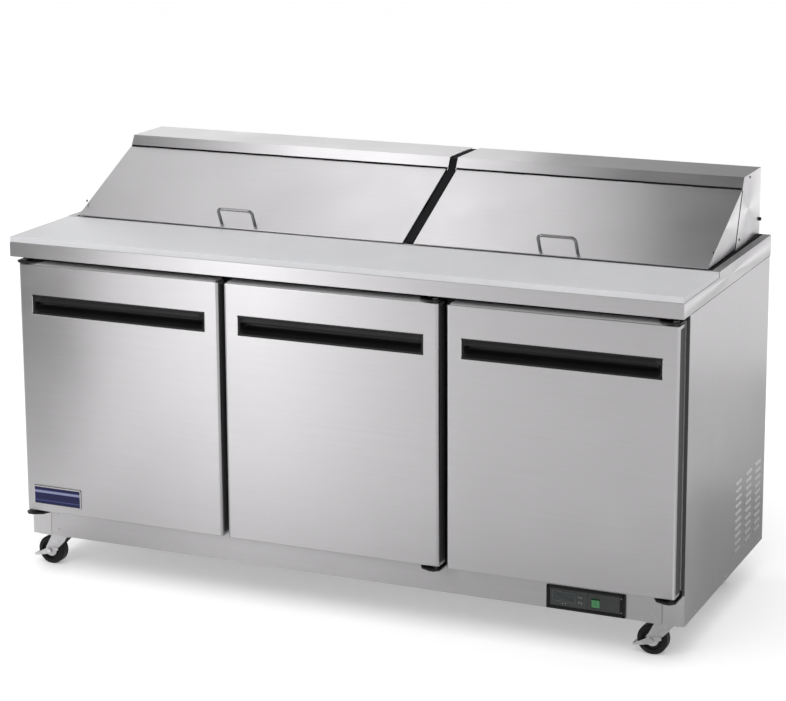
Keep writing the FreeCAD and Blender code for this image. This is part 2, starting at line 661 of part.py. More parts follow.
def make_door_handle(name, x):
    """Moulded pull: a thin flange on the door face round a pocket with an overhanging lip."""
    flange = outline(f"handle_flange_{name}", "front", [
        (f"{x} - handle_width / 2", "handle_low"), (f"{x} + handle_width / 2", "handle_low"),
        (f"{x} + handle_width / 2", "handle_low + handle_height"),
        (f"{x} - handle_width / 2", "handle_low + handle_height"),
    ], "-door_face", "handle_proud")
    round_edges(flange, lambda e: runs_along(e, V(0, 1, 0)), "5")
    low, high = "handle_low + handle_lip", "handle_low + handle_height - handle_lip"
    tub = box(f"handle_tub_{name}", (f"{x} - handle_width / 2 + handle_lip", "door_face", low),
              (f"{x} + handle_width / 2 - handle_lip", "door_face + handle_deep", high))
    scoop = outline(f"handle_scoop_{name}", "side", [
        ("door_face - 3", "handle_low + 4"), ("door_face + 20", f"{low} + 4"),
        ("door_face + handle_deep - 2", f"{low} + 14"),
        ("door_face + handle_deep - 2", f"{high} - 2"), ("door_face + 12", f"{high} - 2"),
        ("door_face + 8", f"{high} - 11"), ("door_face - 3", f"{high} - 6"),
    ], f"{x} - handle_width / 2 + handle_lip + 2.5", "handle_width - 2 * handle_lip - 5")
    part(cut(f"handle_cut_{name}", fuse(f"handle_blank_{name}", [flange, tub]), [scoop]),
         f"door_{name}_handle")


def make_badge():
    """Plain raised plate, with no lettering."""
    x0, x1 = "badge_x - badge_width / 2", "badge_x + badge_width / 2"
    body = outline("door_badge", "front", [
        (x0, "badge_low"), (x1, "badge_low"), (x1, "badge_low + badge_height"),
        (x0, "badge_low + badge_height"),
    ], "-door_face", "2")
    round_edges(body, lambda e: runs_along(e, V(0, 1, 0)), "3")
    part(body)


def make_door_hinges():
    """Black brackets above and below each door's hinge corner, each with its pin."""
    brackets, pins = [], []
    for name, sign in DOORS.items():
        pivot = pivot_x(name)
        at = lambda dx: f"{pivot} + {sign} * ({dx})"
        plan = [(at("-46"), "face"), (at("-42"), "front + 24"), (at("-33"), "front + 7"),
                (at("-9"), "front - 4"), (at("4"), "front - 4"), (at("15"), "front + 8"),
                (at("15"), "face")]
        levels = (("low", "door_bottom - 5 - bracket_thick", "door_bottom - 5", "12"),
                  ("high", "door_top + 5", "door_top + 5", "bracket_thick + 10"))
        for level, base, tab, rise in levels:
            plate = outline(f"bracket_plate_{name}_{level}", "plan", plan, base, "bracket_thick")
            ends = sorted(("-46", "15"), key=lambda dx: sign * float(dx))
            back = box(f"bracket_back_{name}_{level}", (at(ends[0]), "face - 3", tab),
                       (at(ends[1]), "face - 0.2", f"{tab} + {rise}"))
            hole = rod(f"bracket_hole_{name}_{level}", (pivot, "front + pivot_y", f"{base} - 1"),
                       "z", "pin_radius + 0.1", "bracket_thick + 2")
            brackets.append(cut(f"bracket_{name}_{level}",
                                fuse(f"bracket_blank_{name}_{level}", [plate, back]), [hole]))
        low, high = "door_bottom - 5 - bracket_thick - 2", "door_top + 5 + bracket_thick + 2"
        shaft = "5 + bracket_thick + 2 + pin_depth - 1"
        pins.append(fuse(f"pin_low_{name}", [
            rod(f"pin_shaft_low_{name}", (pivot, "front + pivot_y", low), "z", "pin_radius", shaft),
            rod(f"pin_head_low_{name}", (pivot, "front + pivot_y", low), "z", "8", "2")]))
        pins.append(fuse(f"pin_high_{name}", [
            rod(f"pin_shaft_high_{name}", (pivot, "front + pivot_y", f"{high} - ({shaft})"),
                "z", "pin_radius", shaft),
            rod(f"pin_head_high_{name}", (pivot, "front + pivot_y", f"{high} - 2"),
                "z", "8", "2")]))
    part(group("door_hinge_brackets", brackets))
    part(group("door_hinge_pins", pins))


# ---------------------------------------------------------------- controls

def make_controls():
    """Bezel in the kick plate, temperature controller, two keys and the power rocker."""
    x0, x1 = "panel_x - panel_width / 2", "panel_x + panel_width / 2"
    blank = box("bezel_blank", (x0, "face - 2", "panel_low"),
                (x1, "face - 0.1", "panel_low + panel_height"))
    well = box("bezel_well", (f"{x0} + 4.3", "face - 0.2", "panel_low + 4.3"),
               (f"{x1} - 4.3", "face + 14", "panel_low + panel_height - 4.3"))
    c0, c1 = "control_x - control_width / 2", "control_x + control_width / 2"
    c_top = "control_low + control_height"
    window = box("bezel_window", (f"{c0} - 0.2", "face - 9", "control_low - 0.2"),
                 (f"{c1} + 0.2", "face + 20", f"{c_top} + 0.2"))
    slot = box("bezel_slot", ("rocker_x - rocker_width / 2 - 0.8", "face - 9",
                              "rocker_z - rocker_height / 2 - 1.8"),
               ("rocker_x + rocker_width / 2 + 0.8", "face + 20",
                "rocker_z + rocker_height / 2 + 1.8"))
    part(cut("bezel_cut", fuse("bezel_full", [blank, well]), [window, slot]), "control_bezel")

    case = box("control_case", (c0, "face - 3", "control_low"), (c1, "face + 60", c_top))
    glass = box("control_recess", (f"{c0} + 7", "face - 4", "control_low + 13"),
                (f"{c0} + 66", "face - 2.2", f"{c_top} - 6"))
    wells = [rod(f"key_well_{i}", ("key_x", "face - 4", z), "y", "key_radius + gap", "8")
             for i, z in enumerate(("key_high", "key_low"))]
    part(cut("control_cut", case, [glass] + wells), "temperature_controller")
    for label, z in (("key_up", "key_high"), ("key_down", "key_low")):
        part(rod(label, ("key_x", "face - 4.2", z), "y", "key_radius", "5"))

    def tilted(out, up):
        """A point of the rocker, from its pivot, with the rocker pressed in at the bottom."""
        return (f"face + 6 + ({out}) * cos(rocker_tilt) - ({up}) * sin(rocker_tilt)",
                f"rocker_z + ({out}) * sin(rocker_tilt) + ({up}) * cos(rocker_tilt)")

    tall = "rocker_height / 2"
    part(outline("power_rocker", "side", [
        tilted("6", f"3 - {tall}"), tilted("6", f"{tall} - 3"), tilted("-8.5", tall),
        tilted("-7", "0"), tilted("-8.5", f"-{tall}"),
    ], "rocker_x - rocker_width / 2", "rocker_width"))


# ---------------------------------------------------------------- refrigeration

def make_fan(label, centre, axis, radius, hub, deep):
    """An axial fan whose hub is its own motor: five pitched blades."""
    middle = V(*(size(text) for text in centre))
    blades = []
    for i in range(5):
        blade = Part.makeBox(radius - hub + 2, 34, 1.6, V(hub - 2, -17, -0.8))
        blade.rotate(V(), V(1, 0, 0), 28)
        blade.rotate(V(), V(0, 0, 1), 72 * i)
        blades.append(blade)
    rotor = Part.makeCylinder(hub, deep, V(0, 0, -deep / 2)).multiFuse(blades)
    bore = Part.makeCylinder(3.06, deep + 2, V(0, 0, -deep / 2 - 1))
    rotor = rotor.cut(bore)
    rotor.Placement = FreeCAD.Placement(middle, TURNS[axis])
    part(computed(label, rotor))


def finned_block(label, low, high, axis, fins):
    """Header plates, a core and thin fins across it."""
    lo, hi = V(*(size(t) for t in low)), V(*(size(t) for t in high))
    span = hi - lo
    core = Part.makeBox(span.x, span.y * 0.5, span.z * 0.9,
                        lo + V(0, span.y * 0.25, span.z * 0.05))
    if axis == "y":
        core = Part.makeBox(span.x * 0.5, span.y, span.z * 0.9,
                            lo + V(span.x * 0.25, 0, span.z * 0.05))
    plates = []
    for i in range(fins):
        t = i / (fins - 1)
        if axis == "x":
            plates.append(Part.makeBox(1.2, span.y, span.z, lo + V(t * (span.x - 1.2), 0, 0)))
        else:
            plates.append(Part.makeBox(span.x, 1.2, span.z, lo + V(0, t * (span.y - 1.2), 0)))
    return core.multiFuse(plates)


def make_refrigeration():
    deck = "cabinet_bottom + 2.2"
    shell = rod("compressor_can", ("510", "front + 600", f"{deck} + 14"), "z", "72", "125")
    dome = doc.addObject("Part::Sphere", "compressor_dome")
    bind(dome, "Radius", "72")
    dome.Angle1 = 0
    place(dome, ("510", "front + 600", f"{deck} + 139"))
    foot = box("compressor_foot", ("410", "front + 540", deck),
               ("610", "front + 660", f"{deck} + 4"))
    stem = rod("compressor_stem", ("510", "front + 600", f"{deck} + 2"), "z", "40", "20")
    part(fuse("compressor", [shell, dome, foot, stem]))

    low = ("800", "front + 490", deck)
    coil = finned_block("condenser_fins", low, ("845", "front + 712", "330"), "y", 46)
    spider = Part.makeBox(6, 16, 220, V(765, size("front + 593"), size(deck)))
    stub = Part.makeCylinder(3, 30, V(765, size("front + 601"), 215), V(1, 0, 0))
    brace = [Part.makeBox(41, 6, 4, V(762, size("front + 598"), z)) for z in (101, 312)]
    part(computed("condenser", coil.multiFuse([spider, stub] + brace)))
    make_fan("condenser_fan", ("783", "front + 601", "215"), "x", 92, 26, 18)

    high = ("170", "back - wall - 1", "770")
    coil = finned_block("evaporator_fins", ("-170", "back - wall - 62", "600"), high, "x", 60)
    spider = Part.makeBox(16, 4, 170, V(-8, size("back - wall - 88"), 600))
    stub = Part.makeCylinder(3, 24, V(0, size("back - wall - 88"), 685), V(0, 1, 0))
    brace = [Part.makeBox(16, 30, 3, V(-8, size("back - wall - 88"), z)) for z in (600, 767)]
    part(computed("evaporator", coil.multiFuse([spider, stub] + brace)))
    make_fan("evaporator_fan", ("0", "back - wall - 74", "685"), "y", 70, 22, 14)


# ---------------------------------------------------------------- casters

CORNERS = {
    "front_left": (-1, "front + caster_in"), "front_right": (1, "front + caster_in"),
    "rear_left": (-1, "back - caster_in"), "rear_right": (1, "back - caster_in"),
}


def make_caster(name, sign, y):
    """Swivel fork that trails towards -x, with its riveted axle, and the wheel."""
    x = f"{sign} * caster_x"
    wheel_x = f"{x} - trail"
    half = "wheel_width / 2"
    legs = []
    for side_name, near in (("front", f"{y} - {half} - fork_gap"),
                            ("rear", f"{y} + {half} + fork_gap + fork_thick")):
        legs.append(outline(f"leg_{name}_{side_name}", "front", [
            (f"{x} - 24", "crown_low + 3"), (f"{x} + 22", "crown_low + 3"),
            (f"{x} + 12", "crown_low - 14"), (f"{wheel_x} + 10", "wheel_radius - 6"),
            (f"{wheel_x} + 4", "wheel_radius - 12"), (f"{wheel_x} - 7", "wheel_radius - 12"),
            (f"{wheel_x} - 13", "wheel_radius - 3"), (f"{wheel_x} - 10", "wheel_radius + 12"),
        ], f"-({near})", "fork_thick"))
    crown = box(f"crown_{name}", (f"{x} - 24", f"{y} - {half} - fork_gap - fork_thick", "crown_low"),
                (f"{x} + 22", f"{y} + {half} + fork_gap + fork_thick", "crown_low + 3"))
    race = rod(f"race_{name}", (x, y, "crown_low + 2.5"), "z", "24",
               "cabinet_bottom - plate_thick - gap - crown_low - 2.5")
    king = rod(f"king_{name}", (x, y, "crown_low + 2.5"), "z", "6",
               "cabinet_bottom - 0.6 - crown_low - 2.5")
    lever = "3.5" if name.startswith("front") else "0.8"
    axle = rod(f"axle_{name}", (wheel_x, f"{y} - {half} - fork_gap - fork_thick - {lever}",
                                "wheel_radius"), "y", "axle_radius",
               f"wheel_width + 2 * fork_gap + 2 * fork_thick + {lever} + 0.8")
    part(fuse(f"caster_{name}_fork", legs + [crown, race, king, axle]))

    tyre = rod(f"tyre_{name}", (wheel_x, f"{y} - {half} + 3", "wheel_radius"), "y",
               "wheel_radius", "wheel_width - 6")
    shoulders = [
        cone(f"shoulder_{name}_front", (wheel_x, f"{y} - {half}", "wheel_radius"), "y",
             "wheel_radius - 4", "wheel_radius", "3.01"),
        cone(f"shoulder_{name}_rear", (wheel_x, f"{y} + {half} - 3.01", "wheel_radius"), "y",
             "wheel_radius", "wheel_radius - 4", "3.01")]
    hub = rod(f"hub_{name}", (wheel_x, f"{y} - {half} - 1", "wheel_radius"), "y", "11",
              "wheel_width + 2")
    dishes = []
    for side_name, start in (("front", f"{y} - {half} - 0.01"), ("rear", f"{y} + {half} - 5")):
        dishes.append(cut(f"dish_{name}_{side_name}", rod(
            f"dish_disc_{name}_{side_name}", (wheel_x, start, "wheel_radius"), "y", "26", "5.01"), [
                rod(f"dish_core_{name}_{side_name}", (wheel_x, f"{start} - 1", "wheel_radius"),
                    "y", "11", "8")]))
    bore = rod(f"bore_{name}", (wheel_x, f"{y} - {half} - 5", "wheel_radius"), "y",
               "axle_radius + running_fit", "wheel_width + 10")
    part(cut(f"wheel_cut_{name}", fuse(f"wheel_blank_{name}", [tyre, hub] + shoulders),
             dishes + [bore]), f"caster_{name}_wheel")


def make_brake(name, sign, y):
    """Lever on the outside of the fork, pivoting on the axle, with a pedal past the wheel."""
    wheel_x = f"{sign} * caster_x - trail"
    near = f"{y} - wheel_width / 2 - fork_gap - fork_thick - 0.4"
    lever = outline(f"lever_{name}", "front", [
        (f"{wheel_x} + 26", "wheel_radius + 4"), (f"{wheel_x} + 24", "wheel_radius + 12"),
        (f"{wheel_x} - 6", "wheel_radius + 8"), (f"{wheel_x} - 40", "wheel_radius - 11"),
        (f"{wheel_x} - 46", "wheel_radius - 13"), (f"{wheel_x} - 46", "wheel_radius - 17"),
        (f"{wheel_x} - 34", "wheel_radius - 16"), (f"{wheel_x} + 4", "wheel_radius - 8"),
    ], f"-({near})", "2")
    pedal = box(f"pedal_{name}", (f"{wheel_x} - 46", f"{near} - 2", "wheel_radius - 17"),
                (f"{wheel_x} - 42.5", f"{y} + 8", "wheel_radius - 12.5"))
    hole = rod(f"lever_hole_{name}", (wheel_x, f"{near} - 5", "wheel_radius"), "y",
               "axle_radius + running_fit", "10")
    part(cut(f"brake_cut_{name}", fuse(f"brake_blank_{name}", [lever, pedal]), [hole]),
         f"caster_{name}_brake")


def make_casters():
    plates = []
    for name, (sign, y) in CORNERS.items():
        x, half = f"{sign} * caster_x", "plate_size / 2"
        plate = box(f"plate_{name}", (f"{x} - {half}", f"{y} - {half}", "cabinet_bottom - plate_thick"),
                    (f"{x} + {half}", f"{y} + {half}", "cabinet_bottom"))
        hole = rod(f"plate_hole_{name}", (x, y, "cabinet_bottom - plate_thick - 1"), "z",
                   "6 + running_fit", "plate_thick + 2")
        plates.append(cut(f"plate_cut_{name}", plate, [hole]))
        make_caster(name, sign, y)
        if name.startswith("front"):
            make_brake(name, sign, y)
    part(group("caster_plates", plates))


# ---------------------------------------------------------------- build, check and write

def write_parts():
    doc.recompute()
    for thing in doc.Objects:
        if {"Invalid", "Error"} & set(thing.State):
            sys.exit(f"{thing.Label} did not recompute: {thing.State}")
    for label, thing in PARTS.items():
        shape = thing.Shape
        if shape.isNull() or not shape.isValid() or not shape.Solids:
            sys.exit(f"{label} has no valid solid")
    os.makedirs("parts", exist_ok=True)
    for label, thing in PARTS.items():
        thing.Shape.exportStep(os.path.join("parts", f"{label}.step"))
        print(f"{label}: {len(thing.Shape.Solids)} solid(s), {thing.Shape.Volume / 1000:.1f} cm3")
    print(len(PARTS), "sub-parts")


make_worktop()
make_pan_dividers()
make_food_pans()
make_cutting_board()
make_side_panels()
make_back_panel()
make_base_and_kick()
make_front_frame()
make_insulation_and_liner()
make_wire_shelves()
make_hoods()
make_hinge_rods()
make_hood_divider()
make_lids()
for door in DOORS:
    make_door(door)
make_badge()
make_door_hinges()
make_controls()
make_refrigeration()
make_casters()
write_parts()
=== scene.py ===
import math

import bmesh
import bpy
from mathutils import Matrix, Vector


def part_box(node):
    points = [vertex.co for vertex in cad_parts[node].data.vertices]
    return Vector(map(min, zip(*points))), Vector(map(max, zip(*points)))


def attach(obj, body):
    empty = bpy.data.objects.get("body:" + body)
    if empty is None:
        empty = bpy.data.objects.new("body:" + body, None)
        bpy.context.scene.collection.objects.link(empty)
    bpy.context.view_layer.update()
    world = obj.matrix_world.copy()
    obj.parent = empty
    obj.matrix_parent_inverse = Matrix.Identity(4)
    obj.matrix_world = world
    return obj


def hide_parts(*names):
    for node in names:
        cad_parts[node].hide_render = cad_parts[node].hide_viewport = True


# Looks for the refrigerated prep table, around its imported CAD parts. Metres.

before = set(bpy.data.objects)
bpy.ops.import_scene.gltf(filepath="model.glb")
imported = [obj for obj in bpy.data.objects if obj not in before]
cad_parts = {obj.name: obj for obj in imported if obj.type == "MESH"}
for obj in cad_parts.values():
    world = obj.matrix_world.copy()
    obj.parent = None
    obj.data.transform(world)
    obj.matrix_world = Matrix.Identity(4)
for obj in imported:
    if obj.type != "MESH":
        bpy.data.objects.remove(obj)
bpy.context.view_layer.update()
scene = bpy.context.scene
MM = 0.001


# ---------------------------------------------------------------- node helpers

def node(tree, kind, inputs=None, **settings):
    made = tree.nodes.new(kind)
    for name, value in settings.items():
        setattr(made, name, value)
    for name, value in (inputs or {}).items():
        if isinstance(value, bpy.types.NodeSocket):
            tree.links.new(value, made.inputs[name])
        else:
            made.inputs[name].default_value = value
    return made


def calc(tree, operation, *values):
    inputs = dict(enumerate(values))
    return node(tree, "ShaderNodeMath", inputs, operation=operation).outputs[0]


def stretch(tree, vector, scale):
    inputs = {0: vector, 1: scale}
    return node(tree, "ShaderNodeVectorMath", inputs, operation="MULTIPLY").outputs[0]


def noise(tree, vector, scale=1.0, detail=2.0, rough=0.5):
    inputs = {"Vector": vector, "Scale": scale, "Detail": detail, "Roughness": rough}
    return node(tree, "ShaderNodeTexNoise", inputs).outputs[0]


def spread(tree, value, low, high, frm=0.3, to=0.7):
    """Map a noise value to a range."""
    inputs = {"Value": value, "From Min": frm, "From Max": to, "To Min": low, "To Max": high}
    return node(tree, "ShaderNodeMapRange", inputs).outputs[0]


def blend(tree, factor, a, b):
    """Mix two colours."""
    made = node(tree, "ShaderNodeMix", data_type="RGBA")
    for index, value in ((0, factor), (6, a), (7, b)):
        if isinstance(value, bpy.types.NodeSocket):
            tree.links.new(value, made.inputs[index])
        else:
            made.inputs[index].default_value = value
    return made.outputs[2]


def tint(level):
    """A steel grey, slightly violet."""
    return (level * 1.004, level * 0.985, level * 1.004, 1.0)


def blank(name, **constants):
    """A material with its shader, and the constant values set on the shader's own sockets."""
    mat = bpy.data.materials.new(name)
    mat.use_nodes = True
    tree = mat.node_tree
    shader = tree.nodes["Principled BSDF"]
    for socket, value in constants.items():
        shader.inputs[socket.replace("_", " ")].default_value = value
    return mat, tree, shader


def bump(tree, height, distance, strength=1.0, normal=None):
    inputs = {"Height": height, "Distance": distance, "Strength": strength}
    if normal is not None:
        inputs["Normal"] = normal
    return node(tree, "ShaderNodeBump", inputs).outputs[0]


# ---------------------------------------------------------------- materials

def steel(name, tone=0.55, rough=0.36, grain="across", warp=1.0, stretchy=0.85):
    """Brushed stainless sheet: grain in two sizes, wiped smudges and slightly uneven sheet."""
    mat, tree, shader = blank(name, Metallic=1.0, Anisotropic=stretchy)
    at = node(tree, "ShaderNodeTexCoord")
    where = at.outputs["Object"]

    def streaks(along, across, detail):
        if grain == "up":
            return noise(tree, stretch(tree, where, (across, across, along)), 1.0, detail)
        facing = node(tree, "ShaderNodeSeparateXYZ", {0: at.outputs["Normal"]}).outputs["X"]
        sideways = calc(tree, "GREATER_THAN", calc(tree, "ABSOLUTE", facing), 0.7)
        mix = node(tree, "ShaderNodeMix", {
            0: sideways, 4: stretch(tree, where, (along, across, across)),
            5: stretch(tree, where, (across, along, across))}, data_type="VECTOR")
        return noise(tree, mix.outputs[1], 1.0, detail)

    fine, coarse = streaks(16, 1500, 3.0), streaks(2.5, 160, 3.0)
    smudge = noise(tree, where, 4.5, 5.0, 0.6)
    lines = calc(tree, "MULTIPLY_ADD", fine, 0.55, calc(tree, "MULTIPLY", coarse, 0.45))
    level = calc(tree, "MULTIPLY_ADD", smudge, 0.25, calc(tree, "MULTIPLY", lines, 0.75))
    shades = tint(tone * 0.965), tint(tone * 1.035)
    tree.links.new(blend(tree, spread(tree, level, 0, 1, 0.35, 0.65), *shades),
                   shader.inputs["Base Color"])
    tree.links.new(calc(tree, "ADD", spread(tree, lines, rough - 0.02, rough + 0.02),
                        spread(tree, smudge, -0.03, 0.04)), shader.inputs["Roughness"])
    sheet = bump(tree, noise(tree, where, 2.2, 1.0), 0.0016 * warp)
    tree.links.new(bump(tree, lines, 0.000006, 0.6, sheet), shader.inputs["Normal"])
    turn = node(tree, "ShaderNodeTangent", direction_type="RADIAL",
                axis="Z" if grain == "up" else "X").outputs[0]
    tree.links.new(turn, shader.inputs["Tangent"])
    return mat


def moulded(name, colour, rough, texture=900, depth=0.00004, mottle=0.12, **constants):
    """Moulded plastic, rubber or painted steel: fine texture, mottling and handling marks."""
    mat, tree, shader = blank(name, **constants)
    where = node(tree, "ShaderNodeTexCoord").outputs["Object"]
    speck = noise(tree, where, texture, 3.0)
    cloud = noise(tree, where, 9, 5, 0.62)
    shaded_black = tuple(c * (1 - mottle) for c in colour) + (1.0,)
    light = tuple(min(1.0, c * (1 + mottle)) for c in colour) + (1.0,)
    tree.links.new(blend(tree, spread(tree, cloud, 0, 1), shaded_black, light),
                   shader.inputs["Base Color"])
    tree.links.new(calc(tree, "ADD", spread(tree, cloud, rough - 0.06, rough + 0.06),
                        spread(tree, speck, -0.03, 0.03)), shader.inputs["Roughness"])
    tree.links.new(bump(tree, speck, depth), shader.inputs["Normal"])
    return mat


def board_plastic():
    """White polyethylene: faint knife marks both ways over a fine pebble."""
    mat, tree, shader = blank("board_plastic", Subsurface_Weight=0.08, Subsurface_Scale=0.004)
    where = node(tree, "ShaderNodeTexCoord").outputs["Object"]
    cuts = noise(tree, stretch(tree, where, (30, 900, 30)), 1.0, 2.0)
    crossed = noise(tree, stretch(tree, where, (700, 22, 30)), 1.0, 2.0)
    marks = calc(tree, "MAXIMUM", spread(tree, cuts, 0, 1, 0.66, 0.80),
                 spread(tree, crossed, 0, 1, 0.68, 0.82))
    cloud = noise(tree, where, 6, 5, 0.6)
    base = blend(tree, spread(tree, cloud, 0, 1), (0.560, 0.560, 0.576, 1),
                 (0.610, 0.610, 0.627, 1))
    tree.links.new(blend(tree, calc(tree, "MULTIPLY", marks, 0.35), base, (0.50, 0.50, 0.51, 1)),
                   shader.inputs["Base Color"])
    tree.links.new(spread(tree, cloud, 0.40, 0.52), shader.inputs["Roughness"])
    pebble = bump(tree, noise(tree, where, 1400, 2), 0.00003)
    tree.links.new(bump(tree, marks, -0.00006, 1.0, pebble), shader.inputs["Normal"])
    return mat


def badge_enamel():
    """Navy enamel with two plain paler bands."""
    mat, tree, shader = blank("badge_enamel", Roughness=0.35, Specular_IOR_Level=0.2)
    where = node(tree, "ShaderNodeTexCoord").outputs["Object"]
    low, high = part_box("door_badge")
    height = node(tree, "ShaderNodeSeparateXYZ", {0: where}).outputs["Z"]
    share = calc(tree, "DIVIDE", calc(tree, "SUBTRACT", height, low[2]), high[2] - low[2])
    colour = (0.007, 0.008, 0.050, 1)
    for centre, half, band in ((0.70, 0.075, (0.22, 0.24, 0.38, 1)),
                               (0.24, 0.035, (0.04, 0.05, 0.15, 1))):
        gap = calc(tree, "ABSOLUTE", calc(tree, "SUBTRACT", share, centre))
        inside = spread(tree, gap, 1, 0, half * 0.7, half)
        colour = blend(tree, inside, colour, band)
    grain = noise(tree, where, 260, 3)
    tree.links.new(blend(tree, spread(tree, grain, 0, 0.12), colour, (0.06, 0.07, 0.15, 1)),
                   shader.inputs["Base Color"])
    tree.links.new(bump(tree, grain, 0.00002), shader.inputs["Normal"])
    return mat


def switch_green():
    """Lit green plastic of the rocker, slightly cloudy."""
    mat, tree, shader = blank("switch_green", Coat_Weight=0.5, Coat_Roughness=0.15,
                              Emission_Strength=0.08, Transmission_Weight=0.15, Roughness=0.28)
    where = node(tree, "ShaderNodeTexCoord").outputs["Object"]
    cloud = noise(tree, where, 160, 3)
    glow = blend(tree, spread(tree, cloud, 0, 1), (0.025, 0.16, 0.05, 1), (0.06, 0.27, 0.10, 1))
    tree.links.new(glow, shader.inputs["Base Color"])
    tree.links.new(glow, shader.inputs["Emission Color"])
    tree.links.new(bump(tree, noise(tree, where, 1500, 2), 0.00003), shader.inputs["Normal"])
    return mat


def galvanised(name):
    """Zinc plate: overlapping crystals over a cloudy finish."""
    tone, rough = 0.55, 0.38
    mat, tree, shader = blank(name, Metallic=1.0)
    where = node(tree, "ShaderNodeTexCoord").outputs["Object"]
    cells = node(tree, "ShaderNodeTexVoronoi", {"Vector": where, "Scale": 140.0}).outputs["Color"]
    crystal = node(tree, "ShaderNodeSeparateColor", {0: cells}).outputs[0]
    cloud = noise(tree, where, 40, 4)
    mixed = calc(tree, "MULTIPLY_ADD", crystal, 0.4, calc(tree, "MULTIPLY", cloud, 0.6))
    tree.links.new(blend(tree, mixed, tint(tone * 0.82), tint(tone * 1.15)),
                   shader.inputs["Base Color"])
    tree.links.new(spread(tree, mixed, rough - 0.08, rough + 0.1, 0.1, 0.9),
                   shader.inputs["Roughness"])
    tree.links.new(bump(tree, cloud, 0.0001, 0.5), shader.inputs["Normal"])
    return mat


MAT = {
    "front": steel("steel_front", rough=0.36),
    "lid": steel("steel_lid", rough=0.32),
    "side": steel("steel_side", rough=0.36, grain="up"),
    "plain": steel("steel_plain", rough=0.33, stretchy=0.3),
    "pan": steel("steel_pan", tone=0.60, rough=0.24, warp=0.4, stretchy=0.2),
    "bright": steel("steel_bright", tone=0.62, rough=0.20, warp=0.0, stretchy=0.0),
    "rod": steel("steel_rod", tone=0.30, rough=0.24, warp=0.0, stretchy=0.0),
    "liner": steel("liner_aluminium", tone=0.70, rough=0.42, grain="up", stretchy=0.2),
    "coil": steel("coil_aluminium", tone=0.72, rough=0.38, grain="up", stretchy=0.0),
    "zinc": galvanised("zinc_steel"),
    "board": board_plastic(),
    "black": moulded("black_plastic", (0.008, 0.0078, 0.0085), 0.36, Specular_IOR_Level=0.24),
    "matt": moulded("matt_black", (0.008, 0.008, 0.009), 0.75, texture=500,
                    Specular_IOR_Level=0.12),
    "grey": moulded("panel_grey", (0.046, 0.047, 0.048), 0.50, texture=1300,
                    Specular_IOR_Level=0.3),
    "paint": moulded("black_steel", (0.010, 0.010, 0.011), 0.42, texture=500, depth=0.00008,
                     Specular_IOR_Level=0.3),
    "gasket": moulded("gasket_vinyl", (0.020, 0.020, 0.021), 0.60, texture=700,
                      Specular_IOR_Level=0.25),
    "foam": moulded("foam", (0.62, 0.52, 0.30), 0.85, texture=260, depth=0.0006),
    "inner": moulded("inner_panel", (0.665, 0.665, 0.672), 0.32, texture=420, depth=0.00008,
                     mottle=0.05, Coat_Weight=0.2),
    "tread": moulded("caster_tread", (0.008, 0.008, 0.008), 0.52, texture=600, depth=0.0001,
                     Specular_IOR_Level=0.2),
    "wire": moulded("wire_coating", (0.72, 0.73, 0.73), 0.35, texture=300, mottle=0.06,
                    Coat_Weight=0.4),
    "badge": badge_enamel(),
    "green": switch_green(),
    "glass": moulded("display_glass", (0.010, 0.016, 0.016), 0.10, texture=200, depth=0.000005,
                     Coat_Weight=1.0, Coat_Roughness=0.03),
    "print": moulded("panel_print", (0.30, 0.31, 0.31), 0.5),
    "edge": moulded("panel_edge", (0.10, 0.11, 0.11), 0.5),
    # Painted shade: a dark finish for strips that stand in for the shade in the gaps round the
    # doors.
    "gap_shade_finish": moulded("painted_gap_shade", (0.060, 0.060, 0.062), 0.60, texture=700,
                     Specular_IOR_Level=0.3),
}

NODE_MATERIAL = {
    "worktop": "front", "pan_dividers": "plain", "food_pans": "pan", "cutting_board": "board",
    "side_panel_left": "side", "side_panel_right": "side", "back_panel": "plain",
    # The front frame is black: partly its plastic thermal break, partly painted shade so the gaps
    # round the doors read dark.
    "cord_gland": "black", "base_pan": "plain", "kick_panel": "front", "front_frame": "black",
    "liner": "liner", "insulation": "foam", "wire_shelves": "wire", "hood_left": "lid",
    "hood_right": "lid", "lid_hinge_rods": "bright", "hood_divider": "matt",
    "door_badge": "badge", "door_hinge_brackets": "paint", "door_hinge_pins": "bright",
    "control_bezel": "grey", "temperature_controller": "grey", "key_up": "edge",
    "key_down": "edge", "power_rocker": "green", "compressor": "paint", "condenser": "coil",
    "condenser_fan": "black", "evaporator": "coil", "evaporator_fan": "black",
    "caster_plates": "zinc",
}
NODE_ENDING = {
    "_skin": "front", "_inner_panel": "inner", "_pull": "rod", "_gasket": "gasket",
    "_handle": "black", "_fork": "zinc", "_wheel": "tread", "_brake": "zinc",
}


def finish_nodes():
    for name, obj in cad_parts.items():
        key = NODE_MATERIAL.get(name) or next(
            value for end, value in NODE_ENDING.items() if name.endswith(end))
        if name.startswith("lid_") and name.endswith("_skin"):
            key = "lid"
        obj.data.materials.clear()
        obj.data.materials.append(MAT[key])


# ---------------------------------------------------------------- places, in millimetres

FRONT, BACK, LEFT, RIGHT = (0, -1, 0), (0, 1, 0), (-1, 0, 0), (1, 0, 0)
SIDES = ((-1, LEFT), (1, RIGHT))

